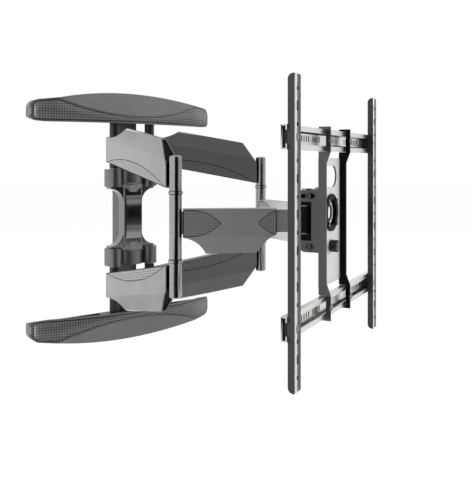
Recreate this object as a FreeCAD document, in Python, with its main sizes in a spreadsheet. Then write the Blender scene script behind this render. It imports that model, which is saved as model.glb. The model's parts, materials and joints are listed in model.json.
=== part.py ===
import FreeCAD, Part
import math
import os
import Sketcher

# Swivel television wall mount. Millimetres and degrees. The wall is the plane Y = 0, the room is on the
# side of negative Y, +X runs to the right for someone who faces the wall, and +Z is up. The origin is the
# centre of the wall bolt pattern.

NEARLY_HALF_CIRCLE = 0.9999
QUARTER_TURN = 90.0
TOUCH = 1e-6
LEVEL_BOLT_ANGLES = (45, 135, 225, 315)
RAIL_SLOT_GROUPS = ((0, 1, 2, 3), (5, 6, 7, 8), (10, 11, 12))
KNOB_FLUTES = 6

SIZES = {
    # linkage: pivots, lengths and the resting angles, measured from +X towards the room
    "pivot_spacing": 75.0,
    "pivot_stand_off": 47.0,
    "arm_length": 223.7,
    "forearm_length": 214.7,
    "head_pivot_spacing": 64.0,
    "left_arm_angle": 91.3,
    "right_arm_angle": 25.9,
    "head_turn": 25.8,
    # wall plates, spine and the pattern of wall bolts
    "plate_half_length": 165.0,
    "plate_bottom": 187.0,
    "plate_height": 26.0,
    "plate_thickness": 3.0,
    "plate_lip": 15.0,
    "tongue_half_width": 50.0,
    "tongue_reach": 57.0,
    "tongue_thickness": 4.0,
    "gusset_height": 22.0,
    "bolt_half_spacing": 130.0,
    "bolt_height": 200.0,
    "bolt_hole_radius": 4.5,
    "spine_half_width": 18.0,
    "spine_depth": 30.0,
    # clevis blocks, column cover and wall pins
    "block_bottom": 58.0,
    "block_height": 33.0,
    "boss_radius": 14.0,
    "block_back": 33.0,
    "column_half_width": 20.0,
    "column_depth": 22.0,
    "flare_half_width": 46.0,
    "flare_rim": 4.0,
    "column_edge": 3.0,
    "wall_pin_radius": 6.0,
    "nut_radius": 9.5,
    "nut_height": 7.0,
    "washer_thickness": 2.0,
    "washer_radius": 9.4,
    "screw_head_radius": 4.5,
    "screw_head_height": 3.0,
    "screw_inset": 11.0,
    "fit": 0.05,
    "gap": 0.3,
    # wall covers
    "cover_half_length": 190.0,
    "cover_bottom": 177.0,
    "cover_end_height": 40.0,
    "cover_rise": 16.0,
    "cover_end_depth": 27.0,
    "cover_bulge": 39.0,
    "cover_knee_half": 143.0,
    "cover_knee_height": 44.0,
    "cover_top_round": 16.0,
    "cover_low_round": 12.0,
    "cover_facet_low": 15.5,
    "cover_facet_in": 23.0,
    "cover_facet_rise": 28.5,
    "cover_wall": 2.5,
    "cover_heel_depth": 35.0,
    "cover_heel_rise": 9.0,
    "rib_back": 6.0,
    "rib_half_length": 120.0,
    # arms: side view heights, width and covers
    "tube_radius": 9.3,
    "arm_half_width": 12.0,
    "arm_wall": 2.0,
    "arm_back_end": 12.0,
    "arm_low_root": 105.0,
    "arm_high_root": 152.0,
    "arm_peak_at": 58.0,
    "arm_peak": 165.0,
    "arm_shoulder_back": 38.0,
    "arm_shoulder": 143.0,
    "arm_low_tip": 62.5,
    "arm_high_tip": 103.0,
    "arm_tip_gap": 1.0,
    "arm_notch_radius": 95.0,
    "arm_ridge_root": 146.0,
    "arm_ridge_tip": 108.0,
    "arm_bevel_in": 6.0,
    "arm_bevel_rise": 24.0,
    "patch_radius": 330.0,
    "patch_depth": 0.5,
    "web_half_thickness": 2.5,
    "web_inset": 5.0,
    "web_shoulder_back": 76.0,
    "web_shoulder": 123.0,
    # elbows
    "elbow_radius": 10.0,
    "elbow_pin_radius": 5.0,
    "elbow_half_height": 112.0,
    "ring_radius": 12.0,
    "ring_at": 53.0,
    "ring_thickness": 4.0,
    "cap_height": 3.0,
    # forearms
    "forearm_top": 29.0,
    "forearm_low_end": 17.0,
    "forearm_low": 43.0,
    "forearm_scoop": 45.0,
    "forearm_crease": 16.0,
    "forearm_slope_from": 48.0,
    "forearm_slope_to": 130.0,
    "forearm_cover_end": 163.0,
    "forearm_end_low": 12.0,
    "forearm_knee_low": 22.0,
    "forearm_bevel_in": 5.0,
    "forearm_block_half": 9.0,
    "forearm_block_low": 9.5,
    "barrel_radius": 14.2,
    "barrel_low": 11.0,
    "barrel_high": 32.0,
    "patch_reach": 61.0,
    # head yoke and its pins
    "head_reach": 40.1,
    "frame_rise": 6.5,
    "yoke_half_width": 46.0,
    "yoke_front": 16.0,
    "yoke_back": 14.0,
    "yoke_web_half": 14.0,
    "yoke_web": 3.2,
    "lug_gap": 2.0,
    "lug_height": 24.0,
    "head_pin_radius": 4.0,
    "pin_head_radius": 8.0,
    "pin_clip_radius": 6.0,
    "open_pivot_clearance": 8.3,
    # tilt bracket
    "cheek_gap": 1.0,
    "cheek_thickness": 5.0,
    "tilt_plate_thickness": 3.0,
    "tilt_plate_top": 59.0,
    "tilt_plate_bottom": 41.0,
    "ear_height": 18.5,
    "upper_ear_back": 7.0,
    "lower_ear_back": 5.0,
    "cheek_strip": 9.0,
    "tilt_axis_back": 11.0,
    "tilt_axis_low": 32.0,
    "tilt_up": 5.0,
    "tilt_down": 8.0,
    "lock_height": 50.0,
    "tilt_bolt_radius": 3.0,
    "tilt_head_radius": 5.0,
    "tilt_head_height": 3.5,
    # level disc and centre bracket
    "disc_height": 20.5,
    "disc_radius": 24.0,
    "disc_ring_radius": 31.0,
    "disc_ring_thickness": 3.0,
    "disc_bore": 14.0,
    "level_slot_at": 27.5,
    "level_slot_half_angle": 9.0,
    "level_bolt_radius": 2.0,
    "level_head_radius": 3.4,
    "level_head_height": 2.0,
    "bracket_half_width": 53.0,
    "bracket_sheet": 2.5,
    "bracket_depth": 10.0,
    "bracket_web_half_height": 104.0,
    "window_top": 92.0,
    "window_bottom": 56.0,
    "window_half_width": 30.0,
    "bar_front": 1.0,
    "claw_front": 8.0,
    "claw_finger": 4.0,
    "claw_back": 12.0,
    "claw_slope_from": 96.0,
    "knob_low": 35.0,
    "knob_radius": 10.0,
    "knob_length": 13.0,
    "knob_stem": 3.0,
    "flute_at": 11.5,
    "flute_radius": 3.0,
    # rails and television arms
    "rail_height": 132.5,
    "rail_width": 35.0,
    "rail_depth": 9.0,
    "rail_half_length": 214.0,
    "rail_sheet": 2.0,
    "rail_lip": 8.0,
    "rail_slot_from": 64.0,
    "rail_slot_length": 10.0,
    "rail_slot_pitch": 9.5,
    "rail_slot_radius": 2.0,
    "rail_bolt_radius": 5.4,
    "rail_bolt_height": 2.2,
    "clamp_bolt_radius": 6.0,
    "tv_arm_length": 440.0,
    "tv_arm_width": 24.0,
    "tv_arm_depth": 10.0,
    "tv_arm_sheet": 2.0,
    "tv_arm_round": 8.0,
    "tv_hole_half_spacing": 200.0,
    "tv_hole_radius": 3.5,
    "tv_slot_pitch": 25.0,
    "tv_slot_length": 15.0,
}

doc = FreeCAD.newDocument("WallMount")
sheet = doc.addObject("Spreadsheet::Sheet", "Sizes")
Vector = FreeCAD.Vector


class Size:
    """A number together with the text of the expression that gives it."""

    def __init__(self, value, text):
        self.value = float(value)
        self.text = text

    def __add__(self, other):
        other = as_size(other)
        return Size(self.value + other.value, f"({self.text} + {other.text})")

    def __sub__(self, other):
        other = as_size(other)
        return Size(self.value - other.value, f"({self.text} - {other.text})")

    def __mul__(self, other):
        other = as_size(other)
        return Size(self.value * other.value, f"({self.text} * {other.text})")

    def __truediv__(self, other):
        other = as_size(other)
        return Size(self.value / other.value, f"({self.text} / {other.text})")

    def __neg__(self):
        return Size(-self.value, f"(0 - {self.text})")

    def __float__(self):
        return self.value


def as_size(number):
    return number if isinstance(number, Size) else Size(number, repr(float(number)))


class SheetSizes:
    """Every cell of the sheet as an attribute."""


S = SheetSizes()
for row, (alias, number) in enumerate(SIZES.items(), start=1):
    sheet.set(f"A{row}", alias)
    sheet.set(f"B{row}", str(number))
    sheet.setAlias(f"B{row}", alias)
    setattr(S, alias, Size(number, f"Sizes.{alias}"))
doc.recompute()

NODES = {}


# Building blocks

def bind(item, prop, value):
    """Set a property and tie it to the sheet."""
    value = as_size(value)
    item.setExpression(prop, value.text)


def body(name):
    return doc.addObject("PartDesign::Body", name)


def sketch(owner, role, offset=0):
    """A sketch on one of the body's origin planes, moved along that plane's normal."""
    item = owner.newObject("Sketcher::SketchObject", owner.Name + "Sketch")
    plane = next(f for f in owner.Origin.OriginFeatures if f.Role == role)
    item.AttachmentSupport = [(plane, "")]
    item.MapMode = "FlatFace"
    offset = as_size(offset)
    item.AttachmentOffset = FreeCAD.Placement(Vector(0, 0, offset.value), FreeCAD.Rotation())
    item.setExpression("AttachmentOffset.Base.z", offset.text)
    return item


def arc_between(start, end, radius, bulge_right):
    """The short arc of a radius from start to end, to the right or left of the chord, run anticlockwise."""
    chord = end - start
    half = chord.Length / 2
    normal = Vector(chord.y, -chord.x, 0).normalize()
    reach = math.sqrt(max(radius * radius - half * half, 0))
    centre = (start + end) / 2 - normal * reach * (1 if bulge_right else -1)
    first, last = (start, end) if bulge_right else (end, start)
    begin = math.atan2(first.y - centre.y, first.x - centre.x)
    finish = math.atan2(last.y - centre.y, last.x - centre.x)
    if finish < begin:
        finish += 2 * math.pi
    return Part.ArcOfCircle(Part.Circle(centre, Vector(0, 0, 1), radius), begin, finish)


def hold(item, kind, geometry, position, value):
    """Hold one coordinate of a sketch point at a sheet value."""
    value = as_size(value)
    index = item.addConstraint(Sketcher.Constraint(kind, -1, 1, geometry, position, value.value))
    item.setExpression(f"Constraints[{index}]", value.text)


def hold_radius(item, geometry, radius):
    radius = as_size(radius)
    index = item.addConstraint(Sketcher.Constraint("Radius", geometry, radius.value))
    item.setExpression(f"Constraints[{index}]", radius.text)


def hold_point(item, geometry, position, point):
    hold(item, "DistanceX", geometry, position, point[0])
    hold(item, "DistanceY", geometry, position, point[1])


def hold_arc(item, geometry, start, end, radius):
    """Hold an arc between two fixed ends by its radius, or a half circle by its centre."""
    across = float(as_size(end[0]) - start[0])
    along = float(as_size(end[1]) - start[1])
    if math.hypot(across, along) / 2 < float(radius) * NEARLY_HALF_CIRCLE:
        hold_radius(item, geometry, radius)
    elif abs(across) > abs(along):
        hold(item, "DistanceY", geometry, 3, (as_size(start[1]) + end[1]) / 2)
    else:
        hold(item, "DistanceX", geometry, 3, (as_size(start[0]) + end[0]) / 2)


def outline(item, points):
    """A closed outline. A point is (x, y), or (x, y, radius, bulges right) where an arc leads to it."""
    count = len(points)
    at = [Vector(float(p[0]), float(p[1]), 0) for p in points]
    ends = []
    arcs = []
    for k in range(count):
        after = (k + 1) % count
        target = points[after]
        forward = True
        if len(target) == 4:
            index = item.addGeometry(arc_between(at[k], at[after], float(target[2]), target[3]))
            forward = target[3]
            arcs.append((index, points[k], target, target[2]))
        else:
            index = item.addGeometry(Part.LineSegment(at[k], at[after]))
        ends.append((index, 1 if forward else 2, 2 if forward else 1))
    for k in range(count):
        here, after = ends[k], ends[(k + 1) % count]
        item.addConstraint(Sketcher.Constraint("Coincident", here[0], here[2], after[0], after[1]))
        hold_point(item, here[0], here[1], points[k])
    for index, start, end, radius in arcs:
        hold_arc(item, index, start, end, radius)


def circle(item, centre, radius):
    middle = Vector(float(centre[0]), float(centre[1]), 0)
    index = item.addGeometry(Part.Circle(middle, Vector(0, 0, 1), float(radius)))
    hold_radius(item, index, radius)
    hold_point(item, index, 3, centre)


def slot(item, centre, half_length, radius, upright=False):
    """A round-ended slot along the sketch's x, or along its y."""
    x, y = as_size(centre[0]), as_size(centre[1])
    if upright:
        points = [(x - radius, y - half_length), (x + radius, y - half_length, radius, True),
                  (x + radius, y + half_length), (x - radius, y + half_length, radius, True)]
    else:
        points = [(x - half_length, y + radius), (x - half_length, y - radius, radius, True),
                  (x + half_length, y - radius), (x + half_length, y + radius, radius, True)]
    outline(item, points)


def pad(owner, profile, length):
    item = owner.newObject("PartDesign::Pad", owner.Name + "Pad")
    item.Profile = profile
    item.Length = float(length)
    bind(item, "Length", length)
    profile.Visibility = False
    return item


def pocket(owner, profile, length):
    """Cut along the direction of the sketch's normal."""
    item = owner.newObject("PartDesign::Pocket", owner.Name + "Pocket")
    item.Profile = profile
    item.Reversed = True
    item.Length = float(length)
    bind(item, "Length", length)
    return item


def slab(owner, role, start, length, points):
    profile = sketch(owner, role, start)
    outline(profile, points)
    return pad(owner, profile, length)


def rod(owner, role, start, length, centre, radius):
    profile = sketch(owner, role, start)
    circle(profile, centre, radius)
    return pad(owner, profile, length)


def bore(owner, role, start, length, centres, radius):
    profile = sketch(owner, role, start)
    for centre in centres:
        circle(profile, centre, radius)
    return pocket(owner, profile, length)


def stood(item, base, direction):
    """Stand a primitive on a point, pointing along a direction."""
    at = Vector(*[float(c) for c in base])
    item.Placement = FreeCAD.Placement(at, FreeCAD.Rotation(Vector(0, 0, 1), direction))
    for axis, value in zip("xyz", base):
        bind(item, f"Placement.Base.{axis}", value)
    return item


def cylinder(name, radius, height, base, direction=Vector(0, 0, 1)):
    item = doc.addObject("Part::Cylinder", name)
    bind(item, "Radius", radius)
    bind(item, "Height", height)
    return stood(item, base, direction)


def hexagon(name, radius, height, base, direction=Vector(0, 0, 1)):
    item = doc.addObject("Part::Prism", name)
    item.Polygon = 6
    bind(item, "Circumradius", radius)
    bind(item, "Height", height)
    return stood(item, base, direction)


def washer(name, inner, outer, height, base, direction=Vector(0, 0, 1)):
    disc = cylinder(name + "Disc", outer, height, base, direction)
    hole = cylinder(name + "Hole", inner, height, base, direction)
    return cut(name, disc, hole)


def cut(name, base, tool):
    item = doc.addObject("Part::Cut", name)
    item.Base = base
    item.Tool = tool
    return item


def common(name, base, tool):
    item = doc.addObject("Part::Common", name)
    item.Base = base
    item.Tool = tool
    return item


def fuse(name, parts):
    item = doc.addObject("Part::MultiFuse", name)
    item.Shapes = parts
    return item


def group(name, parts):
    item = doc.addObject("Part::Compound", name)
    item.Links = parts
    return item


def mirrored(name, source):
    """The same piece on the other side of its own XZ plane."""
    item = doc.addObject("Part::Mirroring", name)
    item.Source = source
    item.Normal = Vector(0, 1, 0)
    return item


def cutting_block(name, corner, along, up, length, height, depth):
    """A block whose face holds corner, along and up, and which lies on the outer side of that face."""
    item = doc.addObject("Part::Box", name)
    bind(item, "Length", length)
    bind(item, "Width", depth)
    bind(item, "Height", height)
    inward = up.cross(along)
    turn = FreeCAD.Rotation(along, inward, up, "XYZ")
    item.Placement = FreeCAD.Placement(corner - inward * float(depth), turn)
    return item


def node(label, item, place=FreeCAD.Placement()):
    item.Label = label
    item.Placement = place.multiply(item.Placement)
    NODES[label] = item


# Where each body rests

def room_direction(angle):
    """Unit vector at an angle from +X towards the room."""
    return Vector(math.cos(math.radians(angle)), -math.sin(math.radians(angle)), 0)


def circle_meeting(first, second, radius):
    """The point at one distance from two centres that lies on the room's side."""
    chord = second - first
    middle = (first + second) / 2
    across = Vector(chord.y, -chord.x, 0).normalize()
    return middle + across * math.sqrt(radius * radius - (chord.Length / 2) ** 2)


def turned(point, angle):
    return FreeCAD.Placement(point, FreeCAD.Rotation(Vector(0, 0, 1), -angle))


def room_angle(step):
    return math.degrees(math.atan2(-step.y, step.x))


left_wall = Vector(-S.pivot_spacing.value / 2, -S.pivot_stand_off.value, 0)
right_wall = Vector(S.pivot_spacing.value / 2, -S.pivot_stand_off.value, 0)
left_elbow = left_wall + room_direction(S.left_arm_angle.value) * S.arm_length.value
right_elbow = right_wall + room_direction(S.right_arm_angle.value) * S.arm_length.value
head_across = room_direction(-S.head_turn.value) * S.head_pivot_spacing.value
left_head = circle_meeting(left_elbow, right_elbow - head_across, S.forearm_length.value)
right_head = left_head + head_across

LEFT_ARM = turned(left_wall, S.left_arm_angle.value)
RIGHT_ARM = turned(right_wall, S.right_arm_angle.value)
LEFT_FOREARM = turned(left_elbow, room_angle(left_head - left_elbow))
RIGHT_FOREARM = turned(right_elbow, room_angle(right_head - right_elbow))
HEAD = turned((left_head + right_head) / 2, -S.head_turn.value)
FLIPPED = FreeCAD.Placement(Vector(), FreeCAD.Rotation(Vector(1, 0, 0), 180))
FRAME = HEAD.multiply(FreeCAD.Placement(Vector(0, 0, S.frame_rise.value), FreeCAD.Rotation()))
UPSIDE_DOWN = FreeCAD.Placement(Vector(), FreeCAD.Rotation(Vector(0, 1, 0), 180))
WALL = FreeCAD.Placement()

half_pivot = S.pivot_spacing / 2
block_top = S.block_bottom + S.block_height


# Wall bracket

def wall_plate(label, place):
    """A folded steel plate with a lip along its top and a tongue that carries the pins."""
    item = body(label)
    back, low = S.plate_half_length, S.plate_bottom
    top = low + S.plate_height
    slab(item, "XZ_Plane", 0, S.plate_thickness, [(-back, low), (back, low), (back, top), (-back, top)])
    lip = [(-back, -S.plate_lip), (back, -S.plate_lip), (back, 0), (-back, 0)]
    slab(item, "XY_Plane", top - S.plate_thickness, S.plate_thickness, lip)
    wide, reach = S.tongue_half_width, S.tongue_reach
    corner = S.boss_radius / 2
    tongue = [(-wide, 0), (-wide, corner - reach), (corner - wide, -reach), (wide - corner, -reach),
              (wide, corner - reach), (wide, 0)]
    slab(item, "XY_Plane", low, S.tongue_thickness, tongue)
    foot = low + S.tongue_thickness
    gusset = [(0, foot), (0, foot + S.gusset_height), (corner - reach, foot)]
    for side in (-wide, wide - S.plate_thickness):
        slab(item, "YZ_Plane", side, S.plate_thickness, gusset)
    pins = [(-half_pivot, -S.pivot_stand_off), (half_pivot, -S.pivot_stand_off)]
    bore(item, "XY_Plane", low, S.tongue_thickness, pins, S.wall_pin_radius + S.fit)
    bolts = [(-S.bolt_half_spacing, S.bolt_height), (S.bolt_half_spacing, S.bolt_height)]
    bore(item, "XZ_Plane", 0, S.plate_thickness, bolts, S.bolt_hole_radius)
    node(label, item, place)


def wall_spine():
    """A steel channel, open to the wall, between the two plates."""
    item = body("wall_spine")
    wide, deep, sheet_wall = S.spine_half_width, S.spine_depth, S.plate_thickness
    channel = [(-wide, 0), (-wide, -deep), (wide, -deep), (wide, 0), (wide - sheet_wall, 0),
               (wide - sheet_wall, sheet_wall - deep), (sheet_wall - wide, sheet_wall - deep),
               (sheet_wall - wide, 0)]
    slab(item, "XY_Plane", -S.plate_bottom, S.plate_bottom * 2, channel)
    node("wall_spine", item)


def clevis_block(label, place):
    """A cast block with a round boss for each wall pin, seated on the spine."""
    item = body(label)
    boss, front = S.boss_radius, S.pivot_stand_off
    wide = half_pivot + boss
    inner = half_pivot - boss
    plan = [(-wide, -S.block_back), (-wide, -front), (-inner, -front, boss, True), (inner, -front),
            (wide, -front, boss, True), (wide, -S.block_back), (S.spine_half_width, -S.spine_depth),
            (-S.spine_half_width, -S.spine_depth)]
    slab(item, "XY_Plane", S.block_bottom, S.block_height, plan)
    pins = [(-half_pivot, -front), (half_pivot, -front)]
    bore(item, "XY_Plane", S.block_bottom, S.block_height, pins, S.wall_pin_radius + S.fit)
    node(label, item, place)


def column_cover():
    """A polished spool: a round-edged waist that flares out to meet both blocks."""
    item = body("column_cover")
    waist, tip, end, edge = S.column_half_width, S.flare_half_width, S.block_bottom, S.column_edge
    back, front = -S.spine_depth, -S.spine_depth - S.column_depth
    plan = [(waist, back), (-waist, back), (-waist, front + edge), (edge - waist, front, edge, True),
            (waist - edge, front), (waist, front + edge, edge, True)]
    slab(item, "XY_Plane", -end, end * 2, plan)
    bend = tip - waist
    rim = end - S.flare_rim
    knee = rim - bend
    flares = [(-tip, end), (-tip, rim), (-waist, knee, bend, False), (-waist, -knee),
              (-tip, -rim, bend, False), (-tip, -end), (tip, -end), (tip, -rim), (waist, -knee, bend, False),
              (waist, knee), (tip, rim, bend, False), (tip, end)]
    slab(item, "XZ_Plane", S.spine_depth, S.column_depth - edge, flares)
    node("column_cover", item)


def wall_cover_form(name, inset):
    """The outer form of a wall cover, or the same form inset by its wall on every side but the open ones."""
    half, bulge, rise = S.cover_half_length - inset, S.cover_bulge, S.cover_rise
    radius = (S.cover_half_length * S.cover_half_length + bulge * bulge) / (bulge * 2) - inset
    ends = S.cover_end_depth - inset
    low = S.cover_bottom
    plan = body(name + "Plan")
    slab(plan, "XY_Plane", low - inset, S.cover_knee_height + rise,
         [(half, inset), (-half, inset), (-half, -ends), (half, -ends, radius, True)])
    top, knee = low + S.cover_end_height - inset, low + S.cover_knee_height - inset
    knee_half = S.cover_knee_half
    arch = (knee_half * knee_half + rise * rise) / (rise * 2)
    bend = S.cover_top_round - inset
    crown = [(half, top - bend), (half - bend, top, bend, True), (knee_half, knee),
             (-knee_half, knee, arch, True), (bend - half, top), (-half, top - bend, bend, True)]
    turn = S.cover_low_round
    heel = S.cover_half_length - turn
    toe = turn - inset
    foot = [(-half, low + turn), (-heel, low + inset, toe, True), (heel, low + inset),
            (half, low + turn, toe, True)]
    if inset.value:
        foot[2:2] = [(-heel, low - inset), (heel, low - inset)]
    front = body(name + "Front")
    slab(front, "XZ_Plane", -inset, S.cover_end_depth + bulge + S.cover_wall, foot + crown)
    both = common(name + "Block", plan, front)
    slope = math.atan2(S.cover_facet_rise.value, S.cover_facet_in.value)
    up = Vector(0, math.cos(slope), math.sin(slope))
    outward = Vector(0, -math.sin(slope), math.cos(slope))
    edge = Vector(-S.cover_half_length.value * 2, -(S.cover_end_depth + bulge).value,
                  (low + S.cover_facet_low).value)
    corner = edge - up * bulge.value - outward * float(inset)
    block = cutting_block(name + "Facet", corner, Vector(1, 0, 0), up, S.cover_half_length * 4,
                          S.cover_half_length, S.cover_knee_height + rise)
    return cut(name, both, block)


def wall_cover(label, place):
    """A moulded hood with a bowed front, a sloping facet and a heel cut back at the wall, hung by a rib."""
    outer = wall_cover_form(label + "_outer", as_size(0))
    inner = wall_cover_form(label + "_inner", S.cover_wall)
    half, low = S.rib_half_length, S.plate_bottom + S.plate_height
    high = S.cover_bottom + S.cover_knee_height + S.cover_rise
    strip = body(label + "_strip")
    face = [(-half, low), (half, low), (half, high), (-half, high)]
    slab(strip, "XZ_Plane", S.rib_back, S.cover_wall, face)
    rib = common(label + "_rib", outer, strip)
    hood = fuse(label + "_hood", [cut(label + "_shell", outer, inner), rib])
    slope = math.atan2(S.cover_heel_rise.value, S.cover_heel_depth.value)
    up = Vector(0, math.cos(slope), math.sin(slope))
    long = S.cover_half_length
    corner = Vector(long.value * 2, -S.cover_heel_depth.value, S.cover_bottom.value)
    heel = cutting_block(label + "_heel", corner, Vector(-1, 0, 0), up, long * 4, long, S.cover_end_depth)
    node(label, cut(label, hood, heel), place)


def wall_hardware():
    """The four wall pins with their washers and nuts, and the screws of the clevis blocks."""
    pins, washers, nuts, screws = [], [], [], []
    bored, rim, thick = S.wall_pin_radius + S.fit, S.washer_radius, S.washer_thickness
    for row, up in (("upper", 1), ("lower", -1)):
        for side, x in (("left", -half_pivot), ("right", half_pivot)):
            name = f"{row}_{side}"
            y = -S.pivot_stand_off
            length = S.plate_bottom + S.tongue_thickness + S.nut_height - S.block_bottom
            axis = Vector(0, 0, up)
            pins.append(cylinder("pin_" + name, S.wall_pin_radius, length, (x, y, S.block_bottom * up), axis))
            for level in (block_top, S.plate_bottom - thick):
                title = f"washer_{name}_{len(washers)}"
                washers.append(washer(title, bored, rim, thick, (x, y, level * up), axis))
            nut_at = (x, y, (S.plate_bottom + S.tongue_thickness) * up)
            nut = hexagon("nut_body_" + name, S.nut_radius, S.nut_height, nut_at, axis)
            hole = cylinder("nut_bore_" + name, bored, S.nut_height, nut_at, axis)
            nuts.append(cut("nut_" + name, nut, hole))
        for side, x in (("left", -S.screw_inset), ("right", S.screw_inset)):
            at = (x, -S.pivot_stand_off, (S.block_bottom + S.block_height / 2) * up)
            screws.append(cylinder(f"screw_{row}_{side}", S.screw_head_radius, S.screw_head_height, at,
                                   Vector(0, -1, 0)))
    node("wall_pins", group("wall_pins", pins))
    node("wall_pin_washers", group("wall_pin_washers", washers))
    node("wall_pin_nuts", group("wall_pin_nuts", nuts))
    node("clevis_screws", group("clevis_screws", screws))


# Arms: modelled level, with the wall pivot on the Z axis and the elbow along +X

arm_end = S.arm_length - S.elbow_radius - S.arm_tip_gap


def arm_core(label, place):
    """A steel plate welded between a wall tube and an elbow tube."""
    item = body(label)
    tube_low = block_top + S.washer_thickness + S.gap
    tube_high = S.plate_bottom - S.washer_thickness - S.gap
    rod(item, "XY_Plane", tube_low, tube_high - tube_low, (0, 0), S.tube_radius)
    elbow_low = S.ring_at + S.ring_thickness
    inset, half = S.web_inset, S.web_half_thickness
    web = [(0, S.arm_low_root + inset), (S.arm_length, S.arm_low_tip + inset),
           (S.arm_length, S.arm_high_tip - inset * 2), (S.arm_length - S.web_shoulder_back, S.web_shoulder),
           (0, S.arm_high_root - inset)]
    slab(item, "XZ_Plane", -half, half * 2, web)
    rod(item, "XY_Plane", elbow_low, S.elbow_half_height - elbow_low, (S.arm_length, 0), S.elbow_radius)
    bore(item, "XY_Plane", tube_low, tube_high - tube_low, [(0, 0)], S.wall_pin_radius + S.fit)
    elbow_bore = S.elbow_pin_radius + S.fit
    bore(item, "XY_Plane", elbow_low, S.elbow_half_height - elbow_low, [(S.arm_length, 0)], elbow_bore)
    node(label, item, place)


def arm_cover_form(name, inset, depth, elbow_end):
    """Half of an arm cover with its bevelled upper band, on the side of negative Y."""
    half = body(name + "Side")
    root = -S.arm_back_end + inset
    profile = [(root, S.arm_low_root + inset)] + elbow_end
    profile += [(S.arm_peak_at, S.arm_peak - inset),
                (root, S.arm_high_root - inset, S.arm_notch_radius, False)]
    slab(half, "XZ_Plane", 0, depth, profile)
    fall = math.atan2((S.arm_ridge_root - S.arm_ridge_tip).value, S.arm_length.value)
    lean = math.atan2(S.arm_bevel_in.value, S.arm_bevel_rise.value)
    along = Vector(math.cos(fall), 0, -math.sin(fall))
    upright = Vector(math.sin(fall), 0, math.cos(fall))
    up = upright * math.cos(lean) + Vector(0, 1, 0) * math.sin(lean)
    ridge = Vector(0, -S.arm_half_width.value, S.arm_ridge_root.value) - along * S.arm_length.value / 2
    inward = up.cross(along)
    corner = ridge + inward * float(inset)
    block = cutting_block(name + "Bevel", corner, along, up, S.arm_length * 2, S.arm_length, S.arm_half_width)
    return cut(name, half, block)


def arm_cover(label):
    """The front half of an arm cover, a thin shell with a sunk lens-shaped patch, open at the elbow."""
    wall, low, high, shoulder = S.arm_wall, S.arm_low_tip, S.arm_high_tip, S.arm_shoulder
    shoulder_at = S.arm_length - S.arm_shoulder_back
    closed = [(arm_end, low), (arm_end, high), (shoulder_at, shoulder)]
    opened = [(arm_end + wall, low + wall), (arm_end + wall, high + wall * 2),
              (shoulder_at + wall * 2, shoulder + wall), (shoulder_at, shoulder - wall)]
    outer = arm_cover_form(label + "_outer", as_size(0), S.arm_half_width, closed)
    inner = arm_cover_form(label + "_inner", wall, S.arm_half_width - wall, opened)
    shell = cut(label + "_shell", outer, inner)
    patch = body(label + "_patch")
    slab(patch, "XZ_Plane", S.arm_half_width - S.patch_depth, S.arm_wall,
         [(-S.arm_back_end, S.arm_low_root, S.patch_radius, True), (arm_end, S.arm_low_tip)])
    return cut(label, shell, patch)


def arm_pair(side, place):
    """The upper and the lower arm of one side with the elbow they share."""
    for level, turn in (("upper", WALL), ("lower", FLIPPED)):
        arm_core(f"{side}_{level}_arm_core", place.multiply(turn))
        near, far = ("front", "back") if level == "upper" else ("back", "front")
        half = arm_cover(f"{side}_{level}_arm_half")
        tube = cylinder(f"{side}_{level}_tube_room", S.tube_radius + S.gap, S.plate_bottom, (0, 0, 0))
        for name, form in ((near, half), (far, mirrored(f"{side}_{level}_arm_other_half", half))):
            label = f"{side}_{level}_arm_{name}_cover"
            node(label, cut(label, form, tube), place.multiply(turn))
    high = S.elbow_half_height
    pin = cylinder(side + "_pin", S.elbow_pin_radius, high * 2, (S.arm_length, 0, -high))
    node(f"{side}_elbow_pin", group(f"{side}_elbow_pin", [pin]), place)
    caps, rings = [], []
    for name, up in (("top", 1), ("bottom", -1)):
        axis = Vector(0, 0, up)
        rim = cylinder(f"{side}_{name}_rim", S.elbow_radius, S.cap_height, (S.arm_length, 0, high * up), axis)
        dome = doc.addObject("Part::Chamfer", f"{side}_{name}_cap")
        dome.Base = rim
        doc.recompute()
        outer = [k for k, e in enumerate(rim.Shape.Edges, start=1)
                 if abs(e.CenterOfMass.z - up * (S.elbow_half_height + S.cap_height).value) < TOUCH]
        dome.Edges = [(k, S.cap_height.value / 2, S.cap_height.value) for k in outer]
        caps.append(dome)
        ring_bore = S.elbow_pin_radius + S.fit
        rings.append(washer(f"{side}_{name}_ring", ring_bore, S.ring_radius, S.ring_thickness,
                            (S.arm_length, 0, S.ring_at * up), axis))
    node(f"{side}_elbow_caps", group(f"{side}_elbow_caps", caps), place)
    node(f"{side}_elbow_rings", group(f"{side}_elbow_rings", rings), place)


# Forearms: the elbow on the Z axis and the head pivot along +X

forearm_start = S.elbow_radius + S.arm_tip_gap * 2


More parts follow.
